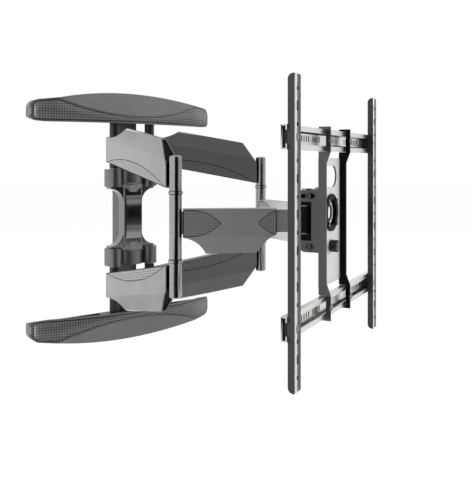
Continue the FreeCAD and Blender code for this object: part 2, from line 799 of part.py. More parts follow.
def forearm_core(label, place, head_bore):
    """An elbow tube and a head barrel joined by a plate and a thicker end block."""
    item = body(label)
    tube = S.ring_at - S.gap
    rod(item, "XY_Plane", -tube, tube * 2, (0, 0), S.elbow_radius)
    half, inset = S.web_half_thickness, S.web_inset
    belly = -S.forearm_low + inset * 2
    plate = [(0, -S.forearm_low_end + inset * 2), (S.forearm_slope_from + inset * 2, belly),
             (S.forearm_slope_to, belly),
             (S.forearm_cover_end - S.forearm_crease, -S.forearm_knee_low + inset),
             (S.forearm_cover_end, -S.forearm_block_low), (S.forearm_cover_end, S.forearm_top - inset),
             (0, S.forearm_top - inset)]
    slab(item, "XZ_Plane", -half, half * 2, plate)
    thick = S.forearm_block_half
    start = S.forearm_cover_end - S.barrel_radius
    top = S.forearm_top - S.arm_wall
    low, end = -S.forearm_block_low, S.forearm_length
    block = [(start, low), (end, low), (end, top), (start, top)]
    slab(item, "XZ_Plane", -thick, thick * 2, block)
    tall = S.barrel_low + S.barrel_high
    rod(item, "XY_Plane", -S.barrel_low, tall, (S.forearm_length, 0), S.barrel_radius)
    bore(item, "XY_Plane", -tube, tube * 2, [(0, 0)], S.elbow_pin_radius + S.fit)
    bore(item, "XY_Plane", -S.barrel_low, tall, [(S.forearm_length, 0)], head_bore)
    node(label, item, place)


def forearm_cover_form(name, inset, depth, start, end):
    """Half of a forearm cover with its lower band sloping inwards, on the side of negative Y."""
    half = body(name + "Side")
    low, top = inset - S.forearm_low, S.forearm_top - inset
    knee = (S.forearm_cover_end - S.forearm_crease, inset - S.forearm_knee_low)
    profile = [(start, top), (start, inset - S.forearm_low_end),
               (S.forearm_slope_from, low, S.forearm_scoop + inset, False), (S.forearm_slope_to, low), knee,
               (end, inset - S.forearm_end_low), (end, top)]
    slab(half, "XZ_Plane", 0, depth, profile)
    drop = (S.forearm_low - S.forearm_crease).value
    lean = math.atan2(S.forearm_bevel_in.value, drop)
    along = Vector(-1, 0, 0)
    up = Vector(0, math.sin(lean), -math.cos(lean))
    inward = up.cross(along)
    crease = Vector(S.forearm_length.value, -S.arm_half_width.value, -S.forearm_crease.value)
    corner = crease + inward * float(inset)
    long = S.forearm_length
    block = cutting_block(name + "Bevel", corner, along, up, long * 2, long, S.arm_half_width)
    return cut(name, half, block)


def forearm_cover(label):
    """The front half of a forearm cover, with a sunk rounded patch at each end."""
    start, end = forearm_start, S.forearm_cover_end
    outer = forearm_cover_form(label + "_outer", as_size(0), S.arm_half_width, start, end)
    wall = S.arm_wall
    inner = forearm_cover_form(label + "_inner", wall, S.arm_half_width - wall, start - wall, end + wall)
    shell = cut(label + "_shell", outer, inner)
    middle = (S.forearm_top - S.forearm_low_end) / 2
    tall = (S.forearm_top + S.forearm_low_end) / 2 - S.arm_wall
    reach = S.patch_reach
    radius = (tall * tall + reach * reach) / reach
    elbow_patch = body(label + "_elbow_patch")
    deep = S.arm_half_width - S.patch_depth
    slab(elbow_patch, "XZ_Plane", deep, S.arm_wall,
         [(start, middle - tall), (start + reach, middle, radius, True),
          (start, middle + tall, radius, True)])
    head_patch = body(label + "_head_patch")
    slab(head_patch, "XZ_Plane", deep, S.arm_wall,
         [(end, middle + tall), (end - reach / 2, middle, radius, True), (end, middle - tall, radius, True)])
    return cut(label, cut(label + "_sunk", shell, elbow_patch), head_patch)


def forearm(side, place, head_bore):
    forearm_core(f"{side}_forearm_core", place, head_bore)
    half = forearm_cover(f"{side}_forearm_half")
    for name, form in (("front", half), ("back", mirrored(f"{side}_forearm_other_half", half))):
        label = f"{side}_forearm_{name}_cover"
        node(label, group(label, [form]), place)


# Head: origin midway between the head pivots, +X along the rails, negative Y towards the television

upper_lug = S.barrel_high + S.lug_gap
lower_lug = S.barrel_low + S.lug_gap
yoke_top = upper_lug + S.lug_height
yoke_bottom = -(lower_lug + S.lug_height)
half_head = S.head_pivot_spacing / 2
plate_back = -(S.head_reach - S.bracket_depth - S.bracket_sheet - S.gap - S.tilt_plate_thickness)
plate_front = plate_back - S.tilt_plate_thickness


def head_yoke():
    """A casting with an upper and a lower lug block for both head pins, joined by a narrow web."""
    item = body("head_yoke")
    wide, front, back = S.yoke_half_width, S.yoke_front, S.yoke_back
    web = S.yoke_web_half
    slab(item, "YZ_Plane", -web, web * 2, [(-front, yoke_bottom), (S.yoke_web - front, yoke_bottom),
                                           (S.yoke_web - front, yoke_top), (-front, yoke_top)])
    for low, high in ((upper_lug, yoke_top), (yoke_bottom, -lower_lug)):
        edge = S.cap_height
        lug = [(-front, low), (back, low), (back, high - edge), (back - edge, high), (-front, high)]
        slab(item, "YZ_Plane", -wide, wide * 2, lug)
    pins = [(-half_head, 0), (half_head, 0)]
    bore(item, "XY_Plane", yoke_bottom, yoke_top - yoke_bottom, pins, S.head_pin_radius + S.fit)
    rod_hole = S.tilt_bolt_radius + S.fit
    bore(item, "YZ_Plane", -wide, wide * 2, [(-S.tilt_axis_back, -S.tilt_axis_low)], rod_hole)
    bore(item, "YZ_Plane", -wide, wide * 2, [(-S.tilt_axis_back, S.lock_height)], rod_hole)
    node("head_yoke", item, HEAD)


def head_pins():
    reach = S.cap_height
    for side, x in (("left", -half_head), ("right", half_head)):
        tall = yoke_top - yoke_bottom
        pin = cylinder(side + "_head_pin_shaft", S.head_pin_radius, tall, (x, 0, yoke_bottom))
        head = cylinder(side + "_head_pin_head", S.pin_head_radius, reach, (x, 0, yoke_top))
        clip = cylinder(side + "_head_pin_clip", S.pin_clip_radius, reach, (x, 0, yoke_bottom - reach))
        node(f"{side}_head_pin", fuse(f"{side}_head_pin", [pin, head, clip]), HEAD)
    washers = []
    thick = S.lug_gap - S.gap
    for x in (-half_head, half_head):
        for level in (S.barrel_high + S.gap, -lower_lug):
            washers.append(washer(f"head_washer_{len(washers)}", S.head_pin_radius + S.fit, S.barrel_radius,
                                  thick, (x, 0, level)))
    node("head_pin_washers", group("head_pin_washers", washers), HEAD)


def tilt_bracket():
    """A folded bracket: a front plate and two C-shaped cheeks, with a pivot hole and an arc slot in each."""
    item = body("tilt_bracket")
    wide = S.yoke_half_width + S.cheek_gap + S.cheek_thickness
    low, high = -S.tilt_plate_bottom, S.tilt_plate_top
    face = [(-wide, low), (wide, low), (wide, high), (-wide, high)]
    slab(item, "XZ_Plane", -plate_back, S.tilt_plate_thickness, face)
    strip = plate_back + S.cheek_strip
    ear, round_end = S.ear_height, S.ear_height / 2
    cheek = [(plate_back, low), (S.lower_ear_back - round_end, low),
             (S.lower_ear_back, low + round_end, round_end, True), (S.lower_ear_back, low + ear),
             (strip, low + ear), (strip, high - ear), (S.upper_ear_back, high - ear),
             (S.upper_ear_back, high - round_end), (S.upper_ear_back - round_end, high, round_end, True),
             (plate_back, high)]
    for start in (-wide, wide - S.cheek_thickness):
        slab(item, "YZ_Plane", start, S.cheek_thickness, cheek)
    pivot = (-S.tilt_axis_back, -S.tilt_axis_low)
    bore(item, "YZ_Plane", -wide, wide * 2, [pivot], S.tilt_bolt_radius + S.fit)
    profile = sketch(item, "YZ_Plane", -wide)
    arc_slot(profile, pivot, S.lock_height + S.tilt_axis_low, S.tilt_bolt_radius + S.gap,
             QUARTER_TURN - S.tilt_down.value, QUARTER_TURN + S.tilt_up.value)
    pocket(item, profile, wide * 2)
    bore(item, "XZ_Plane", -plate_back, S.tilt_plate_thickness, [(0, S.disc_height)], S.disc_bore)
    node("tilt_bracket", item, HEAD)


def arc_slot(item, centre, middle_radius, half_width, first, last):
    """A slot that follows an arc about a centre, with round ends."""
    x, y = as_size(centre[0]), as_size(centre[1])

    def at(radius, angle):
        turn = math.radians(angle)
        return x + radius * math.cos(turn), y + radius * math.sin(turn)

    inner, outer = middle_radius - half_width, middle_radius + half_width
    outline(item, [at(inner, first) + (inner, False), at(outer, first) + (half_width, True),
                   at(outer, last) + (outer, True), at(inner, last) + (half_width, True)])


def tilt_bolts():
    """The pivot bolts through the lower ears and the lock bolts in the arc slots of the upper ears."""
    inner = S.yoke_half_width
    outer = inner + S.cheek_gap + S.cheek_thickness
    depth = S.yoke_half_width - S.yoke_web_half
    for label, level in (("tilt_pivot_bolts", -S.tilt_axis_low), ("tilt_lock_bolts", S.lock_height)):
        bolts = []
        for side, way in (("left", -1), ("right", 1)):
            axis = Vector(way, 0, 0)
            y = -S.tilt_axis_back
            shaft = cylinder(f"{label}_{side}_shaft", S.tilt_bolt_radius, outer - inner + depth,
                             ((inner - depth) * way, y, level), axis)
            head = cylinder(f"{label}_{side}_head", S.tilt_head_radius, S.tilt_head_height,
                            (outer * way, y, level), axis)
            bolts.append(fuse(f"{label}_{side}", [shaft, head]))
        node(label, group(label, bolts), HEAD)


web_back = plate_front - S.gap
web_front = web_back - S.bracket_sheet
rail_back = -S.head_reach + S.rail_depth
arm_back = -S.head_reach - S.gap


def level_disc():
    """A turned disc on the tilt bracket: a hub that fills the bracket's hole and a ring that holds it."""
    item = body("level_disc")
    centre = (0, S.disc_height)
    hub_front = web_front - S.gap
    rod(item, "XZ_Plane", -plate_front, plate_front - hub_front, centre, S.disc_radius)
    rod(item, "XZ_Plane", -hub_front, S.disc_ring_thickness, centre, S.disc_ring_radius)
    deep = plate_front - hub_front + S.disc_ring_thickness
    bore(item, "XZ_Plane", -plate_front, deep, [centre], S.disc_bore)
    profile = sketch(item, "XZ_Plane", -hub_front)
    half = S.level_slot_half_angle.value
    for middle in LEVEL_BOLT_ANGLES:
        arc_slot(profile, centre, S.level_slot_at, S.level_bolt_radius + S.gap, middle - half, middle + half)
    pocket(item, profile, S.disc_ring_thickness)
    node("level_disc", item, HEAD)


def level_bolt_places():
    """Where the level bolts stand, as x and z in the head's frame."""
    for angle in LEVEL_BOLT_ANGLES:
        turn = math.radians(angle)
        yield S.level_slot_at * math.cos(turn), S.disc_height + S.level_slot_at * math.sin(turn)


def level_bolts():
    """Four bolts on the centre bracket that run in the disc's arc slots."""
    bolts = []
    reach = web_back - web_front + S.disc_ring_thickness + S.gap * 2
    axis = Vector(0, -1, 0)
    for number, (x, z) in enumerate(level_bolt_places()):
        shaft = cylinder(f"level_shaft_{number}", S.level_bolt_radius, reach, (x, web_back, z), axis)
        head = cylinder(f"level_head_{number}", S.level_head_radius, S.level_head_height,
                        (x, web_back - reach, z), axis)
        bolts.append(fuse(f"level_bolt_{number}", [shaft, head]))
    node("level_bolts", group("level_bolts", bolts), HEAD)


def centre_bracket():
    """A folded channel: a web behind, two side plates forward, each ending in a claw for a rail."""
    item = body("centre_bracket")
    wide, sheet_wall = S.bracket_half_width, S.bracket_sheet
    tall = S.bracket_web_half_height
    face = [(-wide, -tall), (wide, -tall), (wide, tall), (-wide, tall)]
    slab(item, "XZ_Plane", -web_back, sheet_wall, face)
    front = -S.head_reach - S.bar_front
    claw = -S.head_reach - S.claw_front
    inside = -S.head_reach - S.gap
    low = S.rail_height - S.rail_width / 2 - S.gap
    high = S.rail_height + S.rail_width / 2 + S.gap
    finger = high + S.claw_finger
    back = -S.head_reach + S.claw_back
    slope = S.claw_slope_from
    for start in (-wide, wide - sheet_wall):
        side = [(web_back, -slope), (web_back, slope), (back, low), (inside, low), (inside, high),
                (back, high), (back, finger), (claw, finger), (claw, low), (front, slope), (front, -slope),
                (claw, -low), (claw, -finger), (back, -finger), (back, -high), (inside, -high),
                (inside, -low), (back, -low)]
        slab(item, "YZ_Plane", start, sheet_wall, side)
    down = S.frame_rise
    bore(item, "XZ_Plane", -web_back, sheet_wall, [(0, S.disc_height - down)], S.disc_radius + S.gap)
    window = sketch(item, "XZ_Plane", -web_back)
    half = (S.window_top - S.window_bottom) / 2
    slot(window, (0, S.window_bottom + half), S.window_half_width - half, half)
    pocket(item, window, sheet_wall)
    bore(item, "XZ_Plane", -web_back, sheet_wall, [(0, -S.knob_low - down)], S.knob_stem + S.fit)
    bolts = [(x, z - down) for x, z in level_bolt_places()]
    bore(item, "XZ_Plane", -web_back, sheet_wall, bolts, S.level_bolt_radius + S.fit)
    node("centre_bracket", item, FRAME)


def lock_knob():
    """A fluted hand knob on a stem through the centre bracket's web."""
    item = body("lock_knob")
    centre = (0, -S.knob_low)
    stem = web_back - web_front + S.gap
    rod(item, "XZ_Plane", -web_back, stem, centre, S.knob_stem)
    rod(item, "XZ_Plane", stem - web_back, S.knob_length, centre, S.knob_radius)
    profile = sketch(item, "XZ_Plane", stem - web_back)
    for flute in range(KNOB_FLUTES):
        turn = 2 * math.pi * flute / KNOB_FLUTES
        at = (S.flute_at * math.cos(turn), S.flute_at * math.sin(turn) - S.knob_low)
        circle(profile, at, S.flute_radius)
    pocket(item, profile, S.knob_length)
    node("lock_knob", item, HEAD)


def rail(label, level):
    """A lipped steel channel, open to the front, with groups of slots along its back."""
    item = body(label)
    low, high = level - S.rail_width / 2, level + S.rail_width / 2
    front, back, wall, lip = -S.head_reach, rail_back, S.rail_sheet, S.rail_lip
    section = [(front, low), (back, low), (back, high), (front, high), (front, high - lip),
               (front + wall, high - lip), (front + wall, high - wall), (back - wall, high - wall),
               (back - wall, low + wall),
               (front + wall, low + wall), (front + wall, low + lip), (front, low + lip)]
    slab(item, "YZ_Plane", -S.rail_half_length, S.rail_half_length * 2, section)
    half = S.rail_slot_length / 2 - S.rail_slot_radius
    for side in (-1, 1):
        for steps in RAIL_SLOT_GROUPS:
            slots = sketch(item, "XZ_Plane", -back)
            for step in steps:
                x = (S.rail_slot_from + S.rail_slot_pitch * step) * side
                slot(slots, (x, level), half, S.rail_slot_radius, upright=True)
            pocket(item, slots, wall)
    node(label, item, FRAME)


def rail_bolts():
    """Bolts that clamp each claw to its rail."""
    bolts = []
    for level in (-S.rail_height, S.rail_height):
        for way in (-1, 1):
            x = (S.bracket_half_width - S.bracket_sheet / 2) * way
            base = (x, -S.head_reach - S.claw_front, level)
            bolts.append(hexagon(f"rail_bolt_{len(bolts)}", S.rail_bolt_radius, S.rail_bolt_height, base,
                                 Vector(0, -1, 0)))
    node("rail_bolts", group("rail_bolts", bolts), FRAME)


def tv_arm(side, way):
    """A slotted channel that bolts to the back of the television, with a clamp in each rail."""
    x = S.tv_hole_half_spacing * way
    item = body(f"{side}_tv_arm")
    half, tall, wall = S.tv_arm_width / 2, S.tv_arm_length / 2, S.tv_arm_sheet
    back, front = arm_back, arm_back - S.tv_arm_depth
    inner = half - wall
    section = [(x - half, back), (x - half, front), (x + half, front), (x + half, back), (x + inner, back),
               (x + inner, front + wall), (x - inner, front + wall), (x - inner, back)]
    slab(item, "XY_Plane", -tall, tall * 2, section)
    holes = sketch(item, "XZ_Plane", -(front + wall))
    for level in (-S.tv_hole_half_spacing, S.tv_hole_half_spacing):
        circle(holes, (x, level), S.tv_hole_radius)
    half_slot = S.tv_slot_length / 2 - S.tv_hole_radius
    steps = int(S.tv_hole_half_spacing.value // S.tv_slot_pitch.value)
    clear = (S.clamp_bolt_radius + S.tv_slot_length / 2).value
    for step in range(1 - steps, steps):
        level = S.tv_slot_pitch * step
        if abs(abs(level.value) - S.rail_height.value) < clear:
            continue
        if step % 2:
            slot(holes, (x, level), half_slot, S.tv_hole_radius, upright=True)
        else:
            circle(holes, (x, level), S.tv_hole_radius)
    pocket(item, holes, wall)
    seats = [(x, -S.rail_height), (x, S.rail_height)]
    bore(item, "XZ_Plane", -(front + wall), wall, seats, S.clamp_bolt_radius + S.gap)
    bend = S.tv_arm_round
    corners = sketch(item, "YZ_Plane", x - half)
    outline(corners, [(back, tall - bend, bend, False), (back, tall), (back - bend, tall)])
    outline(corners, [(back - bend, -tall, bend, False), (back, -tall), (back, bend - tall)])
    pocket(item, corners, half * 2)
    node(f"{side}_tv_arm", item, FRAME)
    clamps, bolts = [], []
    for level in (-S.rail_height, S.rail_height):
        name = f"{side}_clamp_{len(clamps)}"
        block = body(name)
        inside = S.rail_width / 2 - S.rail_sheet - S.gap
        throat = S.rail_width / 2 - S.rail_lip - S.gap
        lips = -S.head_reach + S.rail_sheet + S.gap
        deep = rail_back - S.rail_sheet - S.gap
        seat = front + wall
        profile = [(lips, level - inside), (deep, level - inside), (deep, level + inside),
                   (lips, level + inside), (lips, level + throat), (seat, level + throat),
                   (seat, level - throat), (lips, level - throat)]
        slab(block, "YZ_Plane", x - inner, inner * 2, profile)
        clamps.append(block)
        bolts.append(hexagon(f"{side}_clamp_bolt_{len(bolts)}", S.clamp_bolt_radius, wall, (x, seat, level),
                             Vector(0, -1, 0)))
    node(f"{side}_arm_clamps", group(f"{side}_arm_clamps", clamps), FRAME)
    node(f"{side}_clamp_bolts", group(f"{side}_clamp_bolts", bolts), FRAME)


def build():
    wall_plate("top_wall_plate", WALL)
    wall_plate("bottom_wall_plate", UPSIDE_DOWN)
    wall_spine()
    clevis_block("upper_clevis_block", WALL)
    clevis_block("lower_clevis_block", UPSIDE_DOWN)
    column_cover()
    wall_cover("top_wall_cover", WALL)
    wall_cover("bottom_wall_cover", UPSIDE_DOWN)
    wall_hardware()
    arm_pair("left", LEFT_ARM)
    arm_pair("right", RIGHT_ARM)
    forearm("left", LEFT_FOREARM, S.head_pin_radius + S.fit)
    forearm("right", RIGHT_FOREARM, S.head_pin_radius + S.open_pivot_clearance)
    head_yoke()
    head_pins()
    tilt_bracket()
    tilt_bolts()
    level_disc()
    centre_bracket()
    level_bolts()
    lock_knob()
    rail("top_rail", S.rail_height)
    rail("bottom_rail", -S.rail_height)
    rail_bolts()
    tv_arm("left", -1)
    tv_arm("right", 1)


def check_and_write():
    """Stop on any failed object or bad solid, then write one file for each node."""
    for item in doc.Objects:
        if "Invalid" in item.State or "Error" in item.State:
            raise RuntimeError(f"{item.Name} failed: {item.State}")
    for label, item in NODES.items():
        if item.Shape.isNull() or not item.Shape.isValid() or not item.Shape.Solids:
            raise RuntimeError(f"{label} has no valid solid")
    os.makedirs("parts", exist_ok=True)
    for label, item in NODES.items():
        item.Shape.exportStep(f"parts/{label}.step")
        print(label, len(item.Shape.Solids), round(item.Shape.Volume))


build()
doc.recompute()
check_and_write()
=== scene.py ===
# %% [markdown]
# # A swivel wall mount for a television
#
# The mount folds between a wall bracket under two bowed covers and a slotted frame that carries the screen.
# The engineering model already has every moving piece, so this lesson dresses it: textured inserts in the
# sunk patches of the covers, plated sleeves on the elbows, socket bolts, bright faces on the frame, and
# a finish for every node. The frame comes in metres and stays where it is.

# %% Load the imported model
import json
import math

import bmesh
import bpy
from mathutils import Matrix, Vector


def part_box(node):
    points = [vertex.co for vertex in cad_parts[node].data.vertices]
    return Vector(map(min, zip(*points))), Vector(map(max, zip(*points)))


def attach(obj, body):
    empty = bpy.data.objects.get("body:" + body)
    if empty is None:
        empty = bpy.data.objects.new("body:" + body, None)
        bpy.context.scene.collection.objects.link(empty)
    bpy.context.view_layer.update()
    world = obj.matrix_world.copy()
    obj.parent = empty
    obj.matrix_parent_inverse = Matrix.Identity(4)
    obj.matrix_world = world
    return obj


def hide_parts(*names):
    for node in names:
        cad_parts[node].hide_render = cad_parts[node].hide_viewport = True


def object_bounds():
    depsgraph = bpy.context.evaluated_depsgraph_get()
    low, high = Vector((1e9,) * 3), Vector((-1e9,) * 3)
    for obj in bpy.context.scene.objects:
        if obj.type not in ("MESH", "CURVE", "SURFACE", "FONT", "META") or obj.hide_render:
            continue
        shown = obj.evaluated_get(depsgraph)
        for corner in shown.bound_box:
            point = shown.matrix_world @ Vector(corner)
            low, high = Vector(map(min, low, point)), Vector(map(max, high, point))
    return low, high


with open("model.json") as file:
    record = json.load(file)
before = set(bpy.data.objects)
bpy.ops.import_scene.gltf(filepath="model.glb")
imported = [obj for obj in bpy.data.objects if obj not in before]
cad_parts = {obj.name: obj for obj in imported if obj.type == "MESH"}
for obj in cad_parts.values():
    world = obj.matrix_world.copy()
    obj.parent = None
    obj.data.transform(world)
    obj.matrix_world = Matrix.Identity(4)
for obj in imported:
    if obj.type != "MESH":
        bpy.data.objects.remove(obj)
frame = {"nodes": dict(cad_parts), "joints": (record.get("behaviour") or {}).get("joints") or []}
cad_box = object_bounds()
MM = 0.001

# %% [markdown]
# ## Places
#
# Each arm, forearm and the head has a direction of its own in plan. The joints of the record give them:
# an arm runs from its wall pivot to its elbow, and the tilt axis runs along the rails. Everything on the
# arms and the head is placed with these few frames, so it stays with the joints of the model.

# %% Frames of the arms and the head
joints = {joint["name"]: joint for joint in frame["joints"]}


def pivot(name):
    """The place of a joint."""
    return Vector(joints[name]["pos_m"])


def frame_along(origin, direction):
    """A matrix with X along a level direction, Z up and the origin at a pivot."""
    x = Vector((direction.x, direction.y, 0)).normalized()
    y = Vector((-x.y, x.x, 0))
    turned = Matrix((x, y, Vector((0, 0, 1)))).transposed()
    return Matrix.Translation(origin) @ turned.to_4x4()


RAIL_WAY = Vector(joints["tilt"]["axis"])
HEAD_PIVOT_SPACING = 64 * MM
left_head = pivot("head_swivel")
right_head = left_head + RAIL_WAY * HEAD_PIVOT_SPACING
HEAD = frame_along((left_head + right_head) / 2, RAIL_WAY)
ARMS, FOREARMS = {}, {}
for side, head_pivot in (("left", left_head), ("right", right_head)):
    shoulder, elbow = pivot(f"{side}_arm_swing"), pivot(f"{side}_elbow")
    ARMS[side] = frame_along(shoulder, elbow - shoulder)
    FOREARMS[side] = frame_along(elbow, head_pivot - elbow)
    heading = ARMS[side].to_euler().z
    print(side, "arm heading", round(math.degrees(heading), 1), "degrees")

# %% [markdown]
# ## Light and ground
#
# The photograph is a studio shot: white all round, a broad soft light from the left that whitens the left
# arms, a weaker one from the right on the faces that look at the television, and little light from the
# front, so the right arms turn dark. The white behind the object is what the camera, and anything shiny,
# sees; the light that falls on the object is set apart from it by the Light Path node. Three cards, seen
# only in reflections, give the plated posts their dark stripes, as a photographer's flags do: a black one
# in front, a black one on the floor before the object, and a grey one to the right.

# %% One function for colours and one for nodes
def linear(hex_text):
    """An sRGB hex colour as linear red, green, blue and alpha."""
    parts = [int(hex_text[k:k + 2], 16) / 255 for k in (1, 3, 5)]
    return [c / 12.92 if c <= 0.04045 else ((c + 0.055) / 1.055) ** 2.4 for c in parts] + [1.0]


def add_node(tree, kind, settings=None, values=None, links=None):
    """Add a node, set its properties and socket values, and link outputs of other nodes to its inputs."""
    item = tree.nodes.new(kind)
    for key, value in (settings or {}).items():
        setattr(item, key, value)
    for key, value in (values or {}).items():
        item.inputs[key].default_value = value
    for key, (source, output) in (links or {}).items():
        tree.links.new(source.outputs[output], item.inputs[key])
    return item


def cleared_tree(owner):
    """The node tree of a world or a material, switched on and emptied."""
    owner.use_nodes = True
    owner.node_tree.nodes.clear()
    return owner.node_tree


WHITE = linear("#ffffff")
print("middle grey is", round(linear("#808080")[0], 3), "of white in linear light")

# %% World: white to the camera and to reflections, dim to everything else
AMBIENT = 0.05


def seen_by_eye(tree):
    """A value of 1 for rays from the camera, also by way of metal or glass, and 0 for all other light."""
    path = add_node(tree, "ShaderNodeLightPath")
    shiny = add_node(tree, "ShaderNodeMath", {"operation": "MAXIMUM"},
                     links={0: (path, "Is Glossy Ray"), 1: (path, "Is Transmission Ray")})
    return add_node(tree, "ShaderNodeMath", {"operation": "MAXIMUM"},
                    links={0: (path, "Is Camera Ray"), 1: (shiny, 0)})


scene = bpy.context.scene
scene.view_settings.view_transform = "Standard"
world = bpy.data.worlds.new("studio")
scene.world = world
tree = cleared_tree(world)
seen = seen_by_eye(tree)
dim = add_node(tree, "ShaderNodeBackground", values={"Color": WHITE, "Strength": AMBIENT})
white = add_node(tree, "ShaderNodeBackground", values={"Color": WHITE, "Strength": 1.0})
mixed = add_node(tree, "ShaderNodeMixShader", links={0: (seen, 0), 1: (dim, 0), 2: (white, 0)})
add_node(tree, "ShaderNodeOutputWorld", links={"Surface": (mixed, 0)})
print("ambient level", AMBIENT)

# %% Floor of white paper, which keeps the shadow
FLOOR_DROP = 30 * MM
FLOOR_REACH = 9.0
PAPER_GLOW, GLOW_UNSEEN, GLOW_SEEN = 1.07, 0.1, 0.92
TO_MIN, TO_MAX = 3, 4  # sockets of a Map Range node


def plain_sheet(name, corners):
    """One four-cornered face as an object."""
    bm = bmesh.new()
    bm.faces.new([bm.verts.new(corner) for corner in corners])
    mesh = bpy.data.meshes.new(name)
    bm.to_mesh(mesh)
    bm.free()
    sheet = bpy.data.objects.new(name, mesh)
    scene.collection.objects.link(sheet)
    return sheet


floor_level = cad_box[0][2] - FLOOR_DROP
floor = plain_sheet("floor", [(x * FLOOR_REACH, y * FLOOR_REACH, floor_level)
                              for x, y in ((-1, -1), (1, -1), (1, 1), (-1, 1))])
# Matt white paper: as white as the world behind it, with a soft shadow under the object.
paper = bpy.data.materials.new("white_paper_sweep")
tree = cleared_tree(paper)
seen = seen_by_eye(tree)
matte = add_node(tree, "ShaderNodeBsdfDiffuse", values={"Color": linear("#d6d6d6")})
glow = add_node(tree, "ShaderNodeEmission", values={"Color": WHITE, "Strength": PAPER_GLOW})
share = add_node(tree, "ShaderNodeMapRange", values={TO_MIN: GLOW_UNSEEN, TO_MAX: GLOW_SEEN},
                 links={0: (seen, 0)})
both = add_node(tree, "ShaderNodeMixShader", links={0: (share, 0), 1: (matte, 0), 2: (glow, 0)})
add_node(tree, "ShaderNodeOutputMaterial", links={"Surface": (both, 0)})
floor.data.materials.append(paper)
print("floor at", round(floor_level, 3))

# %% Reflection cards
CARD_LIFT = 2 * MM
CARD_REACH = 1.5
CARD_LEFT, CARD_FOLD, CARD_RIGHT = (-1.7, -1.9), (0.3, -2.6), (1.1, -2.35)
FLOOR_CARD_BACK = ((-1.1, -0.62), (0.05, -0.62))


def standing(start, end):
    """The corners of a tall card that stands between two points of the plan."""
    return [(*start, -CARD_REACH), (*end, -CARD_REACH), (*end, CARD_REACH), (*start, CARD_REACH)]


CARDS = {
    "front_card": ("#101010", standing(CARD_LEFT, CARD_FOLD)),
    "floor_card": ("#101010", [(*point, floor_level + CARD_LIFT)
                               for point in (*FLOOR_CARD_BACK, CARD_FOLD, CARD_LEFT)]),
    "right_card": ("#8c8c8c", standing(CARD_FOLD, CARD_RIGHT)),
}
# Velvet on the cards: an even dark patch in a mirror, and nothing anywhere else.
for name, (tone, corners) in CARDS.items():
    card_cloth = bpy.data.materials.new(name + "_cloth")
    tree = cleared_tree(card_cloth)
    velvet = add_node(tree, "ShaderNodeEmission", values={"Color": linear(tone), "Strength": 1.0})
    add_node(tree, "ShaderNodeOutputMaterial", links={"Surface": (velvet, 0)})
    card = plain_sheet(name, corners)
    card.data.materials.append(card_cloth)
    card.visible_camera = False
    card.visible_diffuse = False
    card.visible_shadow = False
    card.visible_transmission = False
print(len(CARDS), "cards")

# %% Lamps: place and width in metres, power in watts
LAMPS = {
    "left_key": ((-1.80, 0.92, 0.20), 1.0, 75.0),
    "top_fill": ((0.9, -0.35, 1.7), 1.4, 14.0),
    "right_fill": ((1.8, -1.25, 0.3), 1.2, 20.0),
    "front_fill": ((-0.5, -1.5, 1.9), 1.2, 2.2),
}
middle = (Vector(cad_box[0]) + Vector(cad_box[1])) / 2
for name, (place, width, power) in LAMPS.items():
    lamp = bpy.data.lights.new(name, "AREA")
    lamp.shape = "SQUARE"
    lamp.size = width
    lamp.energy = power
    holder = bpy.data.objects.new(name, lamp)
    holder.location = place
    holder.rotation_euler = (middle - Vector(place)).to_track_quat("-Z", "Y").to_euler()
    holder.visible_glossy = False
    scene.collection.objects.link(holder)
print(len(LAMPS), "lamps")

# %% [markdown]
# ## Camera
#
# The uprights of the object are upright in the photograph, so the camera looks level and its film is shifted
# down. The focal length and the place were worked out from the elbow posts, the rails and the slotted arms,
# whose sizes are known from the model.

# %% Camera
IMAGE_HEIGHT = 480
FOCAL_PIXELS = 661.0
HORIZON_ROW = 162.6
SENSOR = 36.0
CAMERA_PLACE = (-0.611, -1.1766, 0.1034)
CAMERA_HEADING = math.radians(-37.29)
lens = bpy.data.cameras.new("camera")
lens.sensor_width = SENSOR
lens.lens = FOCAL_PIXELS * SENSOR / IMAGE_HEIGHT
lens.shift_y = (HORIZON_ROW - IMAGE_HEIGHT / 2) / IMAGE_HEIGHT
camera = bpy.data.objects.new("camera", lens)
camera.location = CAMERA_PLACE
camera.rotation_euler = (math.radians(90), 0, CAMERA_HEADING)
scene.collection.objects.link(camera)
scene.camera = camera
print("lens", round(lens.lens, 2), "mm, shift", round(lens.shift_y, 3))

# %% [markdown]
# ## Finishes
#
# Every finish starts from the real stuff: moulded ABS for the covers, plated and painted steel for what
# carries load. The moulded and painted ones share one recipe: a Principled shader, a noise that breaks up
# colour and roughness, and a fine bump for the grain. The grain of a moulding is about a tenth of a
# millimetre and would vanish at this distance, so it is drawn a few times coarser.

# %% A surface with grain
CLOUD_SIZE = 40 * MM
CLOUD_STOPS = (0.35, 0.65)
GRAIN_DEPTH = 0.1 * MM
GLOSSIER, DULLER = 0.04, 0.06


def new_finish(name, colour, roughness, metallic=0.0, shine=0.5):
    """A material with a Principled shader; returns the material, its tree and the shader."""
    finish = bpy.data.materials.new(name)
    tree = cleared_tree(finish)
    shader = add_node(tree, "ShaderNodeBsdfPrincipled",
                      values={"Base Color": linear(colour), "Roughness": roughness, "Metallic": metallic,
                              "Specular IOR Level": shine})
    add_node(tree, "ShaderNodeOutputMaterial", links={"Surface": (shader, 0)})
    return finish, tree, shader


